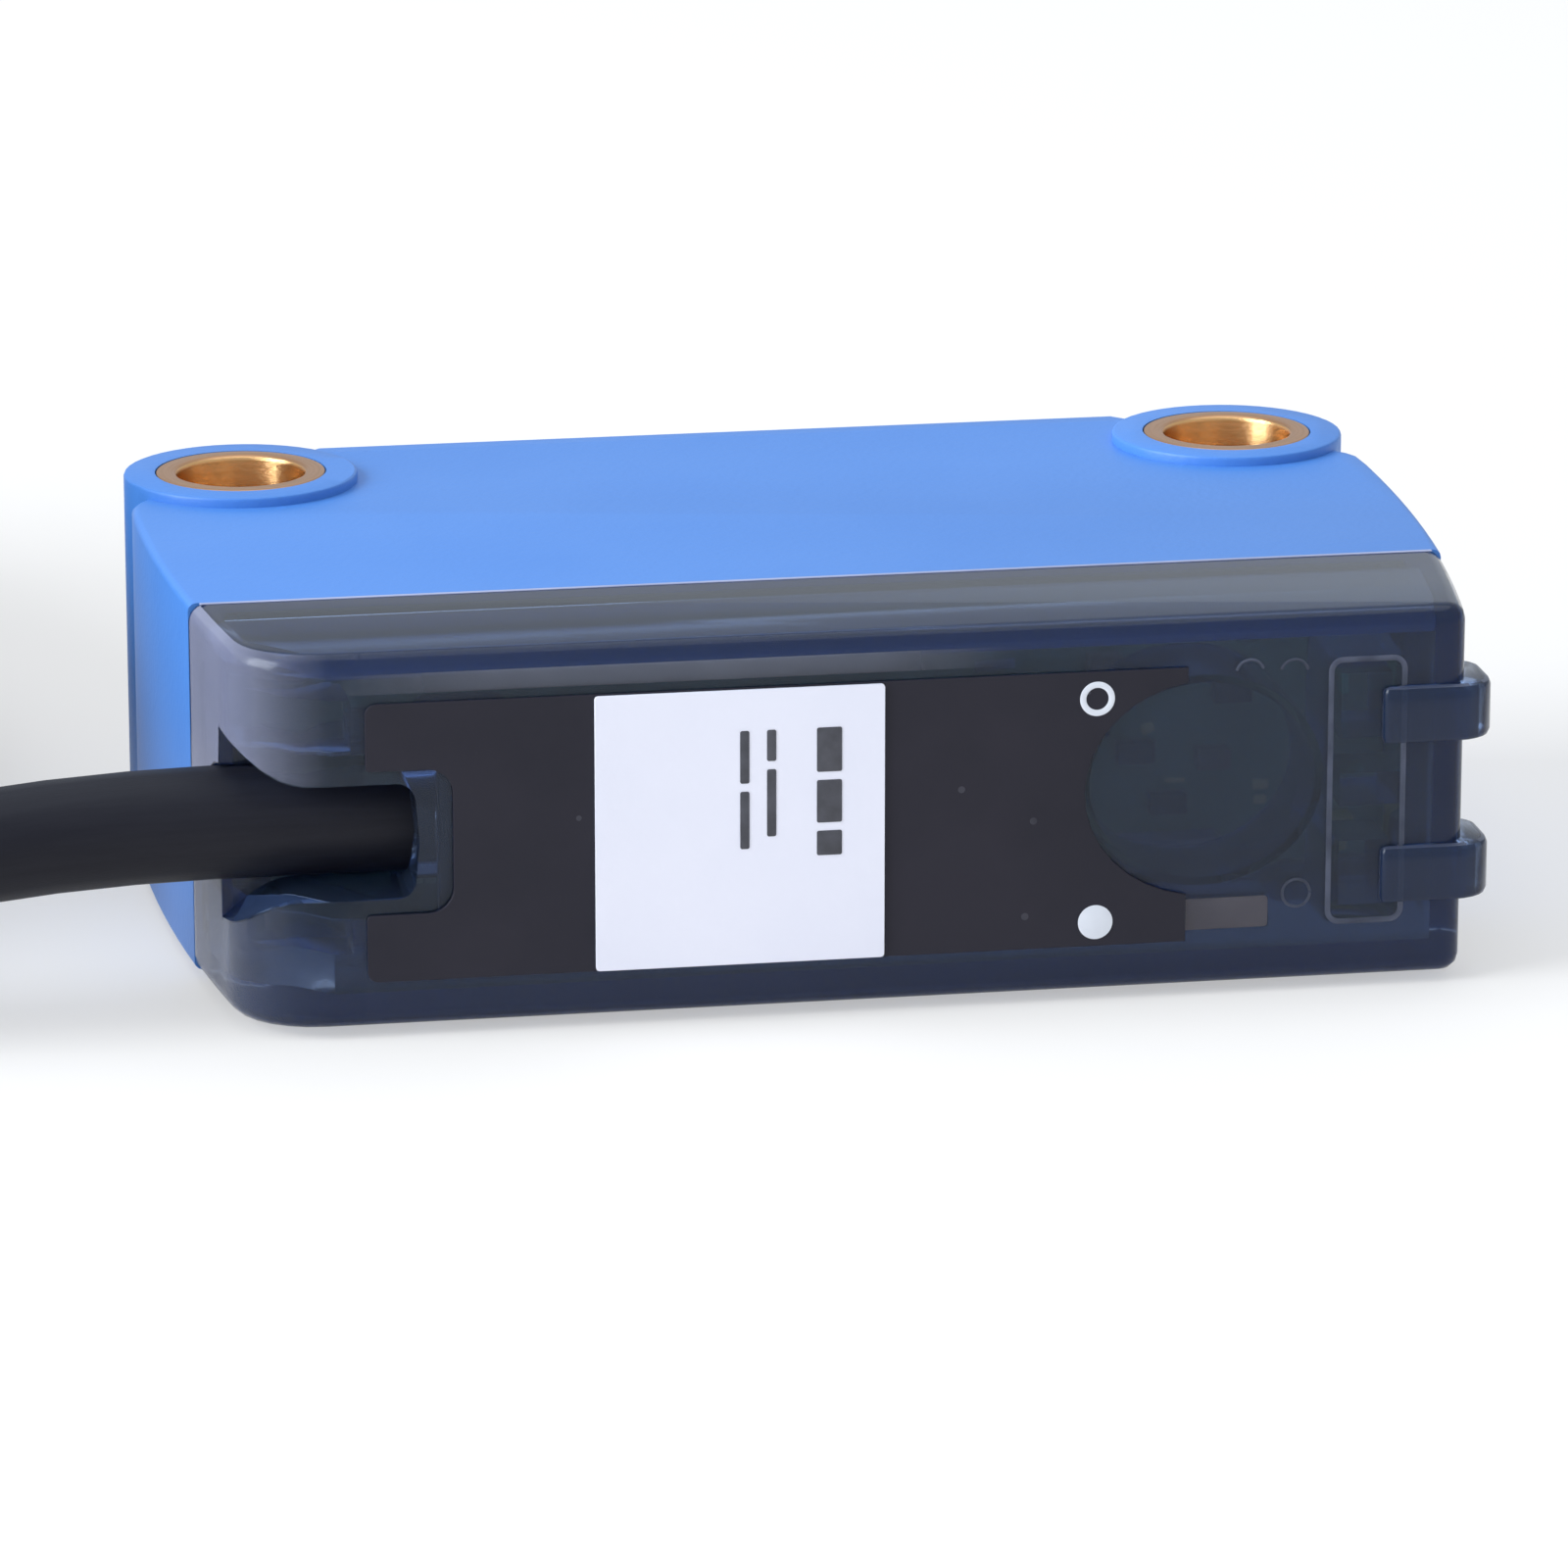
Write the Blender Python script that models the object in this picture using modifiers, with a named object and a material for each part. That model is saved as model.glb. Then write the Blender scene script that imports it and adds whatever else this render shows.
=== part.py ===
# Miniature photoelectric switch with a moulded housing, a smoked rear cover and a fixed cable.
# It lies on one of its broad sides. X runs along the body, +Y points out of the optics and +Z is
# up. The origin is under the middle of the body, on the surface that it lies on.

import bmesh
import bpy
from math import acos, cos, pi, radians, sin, sqrt
from mathutils import Matrix, Vector

MM = 0.001

# Body
hole_spacing = 25.4 * MM
bore_radius = 1.60 * MM
bushing_radius = 2.13 * MM
boss_radius = 2.94 * MM
collar_height = 0.25 * MM
body_thickness = 9.1 * MM
boss_to_front = 3.275 * MM
boss_land = 2.9 * MM
front_step_inset = 2.3 * MM
front_step_run = 0.35 * MM
boss_to_seam = 12.05 * MM
boss_to_rear = 17.5 * MM
end_overhang = 3.02 * MM
end_bow_radius = 80 * MM
boss_to_crest = 4.0 * MM
shoulder_radius = 1.6 * MM
boss_to_shoulder = 1.0 * MM
cover_corner_radius = 2.2 * MM
plain_corner_radius = 0.6 * MM
housing_edge_radius = 0.2 * MM
cover_edge_radius = 0.4 * MM
collar_edge_radius = 0.08 * MM
side_wall = 1.0 * MM
front_wall = 1.6 * MM
cavity_to_boss = 0.4 * MM
cavity_behind_boss = 0.5 * MM
bushing_chamfer = 0.12 * MM

# Clearances
fit_gap = 0.05 * MM
seam_gap = 0.08 * MM
film_gap = 0.03 * MM
cut_margin = 1.0 * MM

# Front window
window_width = 16.8 * MM
window_height = 6.9 * MM
window_thickness = 1.15 * MM
window_proud = 0.2 * MM
window_ledge = 0.5 * MM
window_corner = 1.0 * MM
window_edge_radius = 0.15 * MM

# Optics
lens_spacing = 8.0 * MM
lens_radius = 3.0 * MM
lens_rim = 0.6 * MM
lens_crown = 1.0 * MM
lens_seat = 0.45 * MM
carrier_depth = 5.0 * MM
carrier_clearance = 0.1 * MM
carrier_corner = 0.5 * MM
board_thickness = 0.8 * MM
emitter_size = 1.6 * MM
emitter_height = 0.6 * MM
emitter_dome_radius = 0.7 * MM
emitter_dome_length = 0.7 * MM
receiver_height = 0.7 * MM
light_funnel_radius = 1.3 * MM
light_funnel_rim = 0.4 * MM

# Rear cover
cover_wall = 0.75 * MM
tongue_length = 1.5 * MM
tongue_wall = 0.6 * MM
tongue_root = 0.4 * MM
shoulder_depth = 0.8 * MM
lug_spacing = 3.94 * MM
lug_height = 1.4 * MM
lug_start = 12.55 * MM
lug_proud = 0.25 * MM
lug_reach = 0.76 * MM
lug_depth = 2.4 * MM
lug_corner = 0.9 * MM
lug_inner_corner = 0.5 * MM
lug_edge_radius = 0.15 * MM
well_x = 8.32 * MM
well_lift = 0.4 * MM
well_half_width = 2.95 * MM
well_half_height = 2.6 * MM
well_wall = 0.2 * MM
well_depth = 2.6 * MM
frame_x = 12.3 * MM
frame_width = 1.8 * MM
frame_height = 6.5 * MM
frame_wall = 0.28 * MM
frame_depth = 2.4 * MM
frame_bar = 0.2 * MM
frame_pocket_margin = 0.1 * MM
frame_slot_height = 0.8 * MM
rib_root = 0.3 * MM
clip_x = 13.3 * MM
clip_length = 2.5 * MM
upper_clip_height = 1.2 * MM
lower_clip_height = 0.8 * MM
clip_depth = 1.6 * MM
upper_clip_lift = 2.70 * MM
lower_clip_lift = -2.45 * MM
rest_length = 3.3 * MM
rest_height = 0.86 * MM
rest_depth = 1.2 * MM
rest_lift = -2.87 * MM

# Cable and its outlet
cable_diameter = 2.7 * MM
cable_gap = 0.05 * MM
cable_to_boss = 15.12 * MM
outlet_end_x = -10.65 * MM
outlet_wall = 0.6 * MM
outlet_flare = 1.15 * MM
outlet_flare_length = 1.7 * MM
outlet_corner = 0.45 * MM
outlet_crown = 0.12 * MM
grommet_length = 2.2 * MM
grommet_wall_side = 0.8 * MM
grommet_wall_rear = 0.17 * MM
jacket_inside = 2.5 * MM
conductor_diameter = 0.8 * MM
conductor_offset = 0.5 * MM
pad_spacing = 1.15 * MM
lead_straight = 0.7 * MM
lead_middle = 1.9 * MM
lead_landing = 2.9 * MM
lead_length = 3.9 * MM
grommet_corner = 0.3 * MM

# Boards and their parts
board_margin = 0.1 * MM
notch_radius = 0.4 * MM
notch_places = (10.3 * MM, 9.2 * MM)
leg_width = 0.2 * MM
leg_reach = 0.45 * MM
leg_thickness = 0.24 * MM
chip_resistor_size = (0.9 * MM, 0.5 * MM, 0.4 * MM)
ceramic_capacitor_size = (0.8 * MM, 0.5 * MM, 0.55 * MM)
storage_capacitor_place = (8.3 * MM, 2.45 * MM)
storage_capacitor_size = (2.6 * MM, 0.8 * MM, 1.0 * MM)
indicator_size = (0.8 * MM, 1.1 * MM, 0.7 * MM)
indicator_edge_radius = 0.1 * MM
pin_count = 4
pin_pitch = 1.27 * MM
pin_width = 0.4 * MM
pin_drop = 2.2 * MM
pin_strip_height = 1.2 * MM
pin_strip_length = 1.5 * MM
pin_strip_stand_off = 0.3 * MM
pin_room = 0.02 * MM

# Label and sticker on the rear face
label_thickness = 0.10 * MM
label_left = -11.8 * MM
label_right = 7.8 * MM
label_height = 6.75 * MM
label_corner = 0.25 * MM
label_tip_corner = 0.1 * MM
label_notch_margin = 0.35 * MM
label_notch_depth = 0.9 * MM
label_notch_corner = 0.6 * MM
label_well_margin = 0.05 * MM
sticker_thickness = 0.08 * MM
sticker_left = -6.41 * MM
sticker_width = 6.9 * MM
sticker_height = 6.7 * MM
sticker_corner = 0.08 * MM

# The free cable sags from its straight stretch to the coil's lowest layer
sag_start_x = -15.3 * MM
sag_length = 24.7 * MM
sag_reach = 16.3 * MM

# Coil, tie and free end of the cable
coil_columns = 5
coil_layers = 4
turn_pitch = 2.76 * MM
coil_mean_radius = 16.2 * MM
coil_lift = 0.6 * MM
coil_x = -43.0 * MM
tie_thickness = 0.45 * MM
tie_width = 2.2 * MM
tie_gap = 0.12 * MM
tie_angle = radians(180)
tie_lock_length = 3.0 * MM
tie_lock_height = 1.6 * MM
tie_lock_share = 0.8
tie_corner = 1.2 * MM
coil_corner = 0.9 * MM
tail_start = radians(10)
tail_end = radians(-60)
wire_diameter = 0.9 * MM
wire_offset = 0.55 * MM
wire_length = 22.0 * MM
wire_gap = 0.2 * MM
wire_spread = 2.3 * MM
tip_diameter = 0.5 * MM
tip_length = 5.0 * MM

# Places that follow from the sizes
total_thickness = body_thickness + 2 * collar_height
mid_z = total_thickness / 2
low_z = collar_height
high_z = collar_height + body_thickness
total_depth = boss_to_front + window_proud + boss_to_rear + lug_proud
boss_y = total_depth / 2 - boss_to_front - window_proud
boss_x = hole_spacing / 2
front_y = boss_y + boss_to_front
seam_y = boss_y - boss_to_seam
rear_y = boss_y - boss_to_rear
crest_y = boss_y - boss_to_crest
crest_x = boss_x + end_overhang
cable_y = boss_y - cable_to_boss
main_board_y = seam_y + board_margin
rear_inside_y = rear_y + cover_wall
carrier_front_y = front_y - front_wall - fit_gap
optics_board_y = carrier_front_y - carrier_depth - fit_gap - board_thickness
cable_end_x = outlet_end_x + outlet_wall + jacket_inside
coil_y = cable_y + coil_mean_radius + (coil_columns - 1) / 2 * turn_pitch
coil_outer = coil_mean_radius + coil_columns * turn_pitch / 2
coil_inner = coil_mean_radius - coil_columns * turn_pitch / 2
coil_top = coil_lift + coil_layers * turn_pitch

round_segments = 48
fine_segments = 24


def clear_scene():
    for old in list(bpy.data.objects):
        bpy.data.objects.remove(old, do_unlink=True)


def new_collection(name):
    made = bpy.data.collections.new(name)
    bpy.context.scene.collection.children.link(made)
    return made


clear_scene()
parts = new_collection("photoelectric_switch")
cutters = new_collection("cutters")
cutters.hide_render = True


# Materials
def material(name, colour, roughness, metallic=0.0, alpha=1.0):
    made = bpy.data.materials.new(name)
    made.use_nodes = True
    shader = made.node_tree.nodes["Principled BSDF"]
    shader.inputs["Base Color"].default_value = (*colour, 1.0)
    shader.inputs["Roughness"].default_value = roughness
    shader.inputs["Metallic"].default_value = metallic
    shader.inputs["Alpha"].default_value = alpha
    made.diffuse_color = (*colour, alpha)
    return made


blue_plastic = material("blue_plastic", (0.115, 0.33, 0.84), 0.45)
smoked_plastic = material("smoked_plastic", (0.035, 0.05, 0.115), 0.12, alpha=0.75)
brass = material("brass", (0.62, 0.33, 0.12), 0.3, metallic=1.0)
window_plastic = material("window_plastic", (0.05, 0.01, 0.015), 0.08, alpha=0.8)
clear_plastic = material("clear_plastic", (0.85, 0.87, 0.9), 0.05, alpha=0.4)
black_plastic = material("black_plastic", (0.018, 0.018, 0.02), 0.5)
board_green = material("board_green", (0.02, 0.07, 0.055), 0.4)
chip_black = material("chip_black", (0.02, 0.02, 0.022), 0.45)
ceramic_tan = material("ceramic_tan", (0.38, 0.24, 0.13), 0.4)
ceramic_grey = material("ceramic_grey", (0.2, 0.18, 0.2), 0.5)
led_green_resin = material("led_green_resin", (0.25, 0.75, 0.3), 0.2)
led_yellow_resin = material("led_yellow_resin", (0.85, 0.62, 0.1), 0.2)
emitter_resin = material("emitter_resin", (0.75, 0.75, 0.78), 0.1, alpha=0.6)
diode_resin = material("diode_resin", (0.03, 0.012, 0.02), 0.15)
gold_plate = material("gold_plate", (0.75, 0.52, 0.2), 0.3, metallic=1.0)
label_black = material("label_black", (0.03, 0.026, 0.04), 0.5)
sticker_white = material("sticker_white", (0.8, 0.82, 0.9), 0.5)
grommet_rubber = material("grommet_rubber", (0.015, 0.015, 0.016), 0.7)
cable_jacket = material("cable_jacket", (0.018, 0.018, 0.022), 0.55)
tie_nylon = material("tie_nylon", (0.02, 0.02, 0.02), 0.4)
wire_brown_pvc = material("wire_brown_pvc", (0.13, 0.05, 0.022), 0.45)
wire_blue_pvc = material("wire_blue_pvc", (0.03, 0.12, 0.5), 0.45)
wire_black_pvc = material("wire_black_pvc", (0.015, 0.015, 0.015), 0.45)
tinned_copper = material("tinned_copper", (0.7, 0.7, 0.7), 0.35, metallic=1.0)


# Making and placing
def place(name, data, made_of=None):
    """An object in the model, or among the cutters where it has no material."""
    made = bpy.data.objects.new(name, data)
    if made_of is None:
        cutters.objects.link(made)
        made.hide_render = True
        made.display_type = "WIRE"
    else:
        parts.objects.link(made)
        data.materials.append(made_of)
    return made


def mesh_from(name, bm, made_of=None, smooth=True):
    bmesh.ops.recalc_face_normals(bm, faces=bm.faces)
    mesh = bpy.data.meshes.new(name)
    bm.to_mesh(mesh)
    bm.free()
    if smooth:
        mesh.shade_smooth()
        mesh.set_sharp_from_angle(angle=radians(35))
    return place(name, mesh, made_of)


def box(name, low, high, made_of=None):
    bm = bmesh.new()
    bmesh.ops.create_cube(bm, size=1.0)
    size = Vector(high) - Vector(low)
    middle = (Vector(high) + Vector(low)) / 2
    bmesh.ops.transform(bm, matrix=Matrix.Translation(middle) @ Matrix.Diagonal((*size, 1)), verts=bm.verts)
    return mesh_from(name, bm, made_of, smooth=False)


def turn_to(axis):
    """The rotation that lays a Z-axis shape along the given axis letter."""
    return {"X": Matrix.Rotation(pi / 2, 4, "Y"), "Y": Matrix.Rotation(-pi / 2, 4, "X"), "Z": Matrix()}[axis]


def cone(name, near_radius, far_radius, start, length, axis="Z", made_of=None, segments=round_segments):
    """A cylinder or cone from the start point along +axis."""
    bm = bmesh.new()
    bmesh.ops.create_cone(
        bm, cap_ends=True, segments=segments, radius1=near_radius, radius2=far_radius, depth=length,
        matrix=Matrix.Translation(Vector(start)) @ turn_to(axis) @ Matrix.Translation((0, 0, length / 2)),
    )
    return mesh_from(name, bm, made_of)


def turned(name, profile, made_of=None, segments=round_segments, closed=False):
    """A solid of revolution about Z: profile points are (radius, height), from top to bottom."""
    bm = bmesh.new()
    verts = [bm.verts.new((r, 0, z)) for r, z in profile]
    pairs = list(zip(verts, verts[1:])) + ([(verts[-1], verts[0])] if closed else [])
    for pair in pairs:
        bm.edges.new(pair)
    mesh = bpy.data.meshes.new(name)
    bm.to_mesh(mesh)
    bm.free()
    made = place(name, mesh, made_of)
    screw = made.modifiers.new("turn", "SCREW")
    screw.axis = "Z"
    screw.angle = 2 * pi
    screw.steps = segments
    screw.render_steps = segments
    screw.use_merge_vertices = True
    screw.merge_threshold = 0.000001
    screw.use_smooth_shade = True
    return made


def evaluated_mesh(made, name):
    graph = bpy.context.evaluated_depsgraph_get()
    mesh = bpy.data.meshes.new_from_object(made.evaluated_get(graph))
    mesh.name = name
    return mesh


def prism(name, outline, low, high, made_of=None, plane="XY"):
    """A flat outline with thickness, kept as two flat faces and its side walls.
    plane XY stands the outline's thickness along Z, and plane XZ along Y."""
    curve = bpy.data.curves.new(name, "CURVE")
    curve.dimensions = "2D"
    curve.fill_mode = "BOTH"
    curve.extrude = (high - low) / 2
    line = curve.splines.new("POLY")
    line.points.add(len(outline) - 1)
    for point, (x, y) in zip(line.points, outline):
        point.co = (x, y, 0, 1)
    line.use_cyclic_u = True
    guide = place(name + "_outline", curve)
    mesh = evaluated_mesh(guide, name)
    bpy.data.objects.remove(guide, do_unlink=True)
    bpy.data.curves.remove(curve)
    bm = bmesh.new()
    bm.from_mesh(mesh)
    bpy.data.meshes.remove(mesh)
    bmesh.ops.remove_doubles(bm, verts=bm.verts, dist=0.0000005)
    bmesh.ops.dissolve_limit(bm, angle_limit=radians(0.2), verts=bm.verts, edges=bm.edges)
    lift = Matrix.Translation((0, 0, (low + high) / 2))
    if plane == "XZ":
        lift = Matrix(((1, 0, 0, 0), (0, 0, 1, 0), (0, 1, 0, 0), (0, 0, 0, 1))) @ lift
    bmesh.ops.transform(bm, matrix=lift, verts=bm.verts)
    return mesh_from(name, bm, made_of)


def rounded(corners, steps=6):
    """An outline through (x, y, radius) corners, each rounded by its own arc."""
    line = []
    for k, (x, y, radius) in enumerate(corners):
        here = Vector((x, y))
        before = Vector(corners[k - 1][:2]) - here
        after = Vector(corners[(k + 1) % len(corners)][:2]) - here
        if radius <= 0:
            line.append((x, y))
            continue
        before.normalize()
        after.normalize()
        half = before.angle(after) / 2
        centre = here + (before + after).normalized() * radius / sin(half)
        leg = radius / sin(half) * cos(half)
        start = here + before * leg - centre
        sweep = start.angle_signed(here + after * leg - centre)
        for step in range(steps + 1):
            turn = Matrix.Rotation(-sweep * step / steps, 2)
            line.append(tuple(centre + turn @ start))
    return line


def rectangle(x0, y0, x1, y1, radius=0.0, steps=6):
    return rounded([(x0, y0, radius), (x1, y0, radius), (x1, y1, radius), (x0, y1, radius)], steps)


def weigh_edges(made, test):
    """Marks the edges that a Bevel limited by weight rounds."""
    mesh = made.data
    weights = mesh.attributes.new("bevel_weight_edge", "FLOAT", "EDGE")
    for edge in mesh.edges:
        ends = [mesh.vertices[k].co for k in edge.vertices]
        weights.data[edge.index].value = 1.0 if test(*ends) else 0.0


def round_edges(made, width, segments=3, weighted=False):
    bevel = made.modifiers.new("round", "BEVEL")
    bevel.width = width
    bevel.segments = segments
    bevel.limit_method = "WEIGHT" if weighted else "ANGLE"
    bevel.angle_limit = radians(50)
    bevel.harden_normals = False
    return made


def combine(made, other, operation):
    change = made.modifiers.new(operation.lower(), "BOOLEAN")
    change.operation = operation
    change.object = other
    change.solver = "EXACT"


def cut(made, *others):
    for other in others:
        combine(made, other, "DIFFERENCE")


def join(made, *others):
    for other in others:
        combine(made, other, "UNION")


def tube(name, points, diameter, made_of, resolution=2):
    curve = bpy.data.curves.new(name, "CURVE")
    curve.dimensions = "3D"
    curve.bevel_depth = diameter / 2
    curve.bevel_resolution = resolution
    curve.use_fill_caps = True
    line = curve.splines.new("POLY")
    line.points.add(len(points) - 1)
    for point, place_at in zip(line.points, points):
        point.co = (*place_at, 1)
    return place(name, curve, made_of)


def smooth_route(points, spacing):
    """Points at even steps on a smooth curve (Catmull-Rom) through the given ones."""
    ends = [2 * points[0] - points[1], *points, 2 * points[-1] - points[-2]]
    fine = []
    for a, b, c, d in zip(ends, ends[1:], ends[2:], ends[3:]):
        for step in range(16):
            t = step / 16
            fine.append(
                b + 0.5 * (c - a) * t + (a - 2.5 * b + 2 * c - 0.5 * d) * t * t
                + 0.5 * (3 * b - a - 3 * c + d) * t**3
            )
    fine.append(points[-1])
    along = [0.0]
    for p, q in zip(fine, fine[1:]):
        along.append(along[-1] + (q - p).length)
    count = max(2, round(along[-1] / spacing))
    line = []
    for k in range(count + 1):
        want = along[-1] * k / count
        n = next(i for i in range(1, len(along)) if along[i] >= want - 1e-12)
        share = (want - along[n - 1]) / (along[n] - along[n - 1])
        line.append(fine[n - 1].lerp(fine[n], share))
    return line


# Plan outline of the body
def end_x(y, inset=0.0):
    """How far the bowed end wall reaches at a given depth."""
    return crest_x - end_bow_radius + sqrt(end_bow_radius**2 - (y - crest_y) ** 2) - inset


def end_wall(y_from, y_to, inset=0.0, steps=8):
    return [(end_x(y, inset), y) for y in (y_from + (y_to - y_from) * k / steps for k in range(steps + 1))]


def mirrored(points):
    return [(-x, y) for x, y in reversed(points)]


# Housing
def housing_outline():
    """Right half from the front to the seam, then its mirror image."""
    top = boss_y - boss_to_shoulder
    centre = Vector((crest_x - shoulder_radius, top - shoulder_radius))
    shoulder = [
        tuple(centre + shoulder_radius * Vector((sin(a), cos(a))))
        for a in (pi / 2 * k / 6 for k in range(6))
    ]
    step_x, land_y = boss_x - front_step_inset, boss_y + boss_land
    front = [(step_x, front_y), (step_x + front_step_run, land_y), (boss_x, land_y)]
    right = [*front, (boss_x, top), *shoulder, *end_wall(crest_y + 0.8 * MM, seam_y)]
    return right + mirrored(right)


def make_housing():
    made = prism("housing", housing_outline(), low_z, high_z, blue_plastic)

    def long_edge(a, b):
        flat = abs(a.z - b.z) < 1e-6
        on_seam = abs(a.y - seam_y) < 1e-6 and abs(b.y - seam_y) < 1e-6
        return flat and not on_seam

    weigh_edges(made, long_edge)
    round_edges(made, housing_edge_radius, weighted=True)
    for side in (-1, 1):
        boss = cone("boss", boss_radius, boss_radius, (side * boss_x, boss_y, 0), total_thickness)
        round_edges(boss, collar_edge_radius, segments=2)
        join(made, boss)
    # Cavity for the optics between the bosses, and for the boards behind them
    inner_x = boss_x - boss_radius - cavity_to_boss
    behind_y = boss_y - boss_radius - cavity_behind_boss
    cavity = [(inner_x, front_y - front_wall), (inner_x, behind_y)]
    cavity += end_wall(behind_y, seam_y - cut_margin, inset=side_wall)
    inside = prism("housing_cavity", cavity + mirrored(cavity), low_z + side_wall, high_z - side_wall)
    cut(made, inside)
    for side in (-1, 1):
        hole = cone(
            "bushing_hole", bushing_radius + fit_gap / 2, bushing_radius + fit_gap / 2,
            (side * boss_x, boss_y, -cut_margin), total_thickness + 2 * cut_margin,
        )
        cut(made, hole)
    # Rebate for the window, and the opening behind it
    half_w = window_width / 2 + fit_gap
    half_h = window_height / 2 + fit_gap
    rebate = prism(
        "window_rebate",
        rectangle(-half_w, mid_z - half_h, half_w, mid_z + half_h, window_corner),
        front_y + window_proud - window_thickness - fit_gap, front_y + cut_margin, plane="XZ",
    )
    opening = prism(
        "window_opening",
        rectangle(
            -half_w + window_ledge, mid_z - half_h + window_ledge,
            half_w - window_ledge, mid_z + half_h - window_ledge, window_corner,
        ),
        front_y - front_wall - cut_margin, front_y + cut_margin, plane="XZ",
    )
    cut(made, rebate, opening)
    return made


# Bushings, pressed into the bosses and flush with their collars
def make_bushing(name, side):
    chamfer = bushing_chamfer
    made = turned(
        name,
        [
            (bushing_radius, total_thickness), (bushing_radius, 0),
            (bore_radius + chamfer, 0), (bore_radius, chamfer),
            (bore_radius, total_thickness - chamfer), (bore_radius + chamfer, total_thickness),
        ],
        brass, closed=True,
    )
    made.location = (side * boss_x, boss_y, 0)
    return made


# Front window
def make_window():
    back = front_y + window_proud - window_thickness
    made = prism(
        "front_window",
        rectangle(
            -window_width / 2, mid_z - window_height / 2, window_width / 2, mid_z + window_height / 2,
            window_corner,
        ),
        back, back + window_thickness, window_plastic, plane="XZ",
    )
    weigh_edges(made, lambda a, b: abs(a.y - b.y) < 1e-7 and a.y > front_y)
    return round_edges(made, window_edge_radius, segments=2, weighted=True)


# Lenses and their carrier
def make_lens(name, side):
    """A flat-backed lens: a rim, and a crown that bulges to the front."""
    sphere = (lens_radius**2 + lens_crown**2) / (2 * lens_crown)
    crown = [
        (lens_radius * k / 8, lens_rim + lens_crown - sphere + sqrt(sphere**2 - (lens_radius * k / 8) ** 2))
        for k in range(9)
    ]
    made = turned(name, crown + [(lens_radius, 0), (0, 0)], clear_plastic)
    made.rotation_euler = (-pi / 2, 0, 0)
    made.location = (side * lens_spacing / 2, lens_back_y(), mid_z)
    return made


def lens_back_y():
    return carrier_front_y - lens_seat - lens_rim - lens_crown


def optics_outline():
    """The rectangle that fits the cavity between the bosses."""
    half_w = boss_x - boss_radius - cavity_to_boss - carrier_clearance
    half_h = body_thickness / 2 - side_wall - carrier_clearance
    return rectangle(-half_w, mid_z - half_h, half_w, mid_z + half_h, carrier_corner, steps=3)


def make_carrier():
    made = prism(
        "optics_carrier", optics_outline(),
        carrier_front_y - carrier_depth, carrier_front_y, black_plastic, plane="XZ",
    )
    for side in (-1, 1):
        x = side * lens_spacing / 2
        seat = cone(
            "lens_seat", lens_radius + fit_gap, lens_radius + fit_gap,
            (x, lens_back_y() - fit_gap, mid_z), carrier_depth, axis="Y",
        )
        funnel = cone(
            "light_funnel", light_funnel_radius, lens_radius - light_funnel_rim,
            (x, carrier_front_y - carrier_depth - fit_gap, mid_z), carrier_depth, axis="Y",
        )
        cut(made, seat, funnel)
    return made


# Emitter and receiver stand on the optics board and look into the funnels
def make_optics_board():
    return prism(
        "optics_board", optics_outline(),
        optics_board_y, optics_board_y + board_thickness, board_green, plane="XZ",
    )


def make_emitter():
    """A small square package with a moulded dome."""
    base_y = optics_board_y + board_thickness + film_gap
    x = -lens_spacing / 2
    half = emitter_size / 2
    made = box(
        "emitter_led", (x - half, base_y, mid_z - half),
        (x + half, base_y + emitter_height, mid_z + half), emitter_resin,
    )
    dome = cone(
        "emitter_dome", emitter_dome_radius, emitter_dome_radius * 0.6,
        (x, base_y + emitter_height - fit_gap, mid_z), emitter_dome_length, axis="Y", segments=fine_segments,
    )
    round_edges(dome, emitter_dome_length / 3, segments=3)
    join(made, dome)
    return made


def make_receiver():
    base_y = optics_board_y + board_thickness + film_gap
    x = lens_spacing / 2
    half = emitter_size / 2
    made = box(
        "receiver_diode", (x - half, base_y, mid_z - half),
        (x + half, base_y + receiver_height, mid_z + half), diode_resin,
    )
    return round_edges(made, indicator_edge_radius, segments=1)


# Main board
def board_outline():
    """A plate inside the cover's tongue, with two half-round plated notches in its upper edge."""
    half_w = end_x(seam_y, side_wall + fit_gap + tongue_wall) - board_margin
    half_h = body_thickness / 2 - side_wall - fit_gap - tongue_wall - board_margin
    top = mid_z + half_h
    line = [(-half_w, mid_z - half_h), (half_w, mid_z - half_h), (half_w, top)]
    for x in notch_places:
        line += [
            (x + notch_radius * cos(a), top - notch_radius * sin(a)) for a in (pi * k / 8 for k in range(9))
        ]
    return line + [(-half_w, top)]


def make_main_board():
    return prism(
        "main_board", board_outline(), main_board_y - board_thickness, main_board_y, board_green, plane="XZ"
    )


def on_board(x, z, width, height, tall):
    """The corners of a block that stands on the board's rear side."""
    base = main_board_y - board_thickness - film_gap
    return ((x - width / 2, base - tall, z - height / 2), (x + width / 2, base, z + height / 2))


def make_chip(name, x, z, width, height, tall, legs, made_of):
    """A moulded package with a row of gull-wing legs on its upper and lower side."""
    low, high = on_board(x, z, width, height, tall)
    made = box(name, low, high, made_of)
    for row in (-1, 1):
        for k in range(legs):
            leg_x = x + (k - (legs - 1) / 2) * width / legs
            root, tip = z + row * (height / 2 - fit_gap), z + row * (height / 2 + leg_reach)
            leg = box(
                "leg", (leg_x - leg_width / 2, high[1] - leg_thickness, min(root, tip)),
                (leg_x + leg_width / 2, high[1] - fit_gap / 5, max(root, tip)),
            )
            join(made, leg)
    return made


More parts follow.
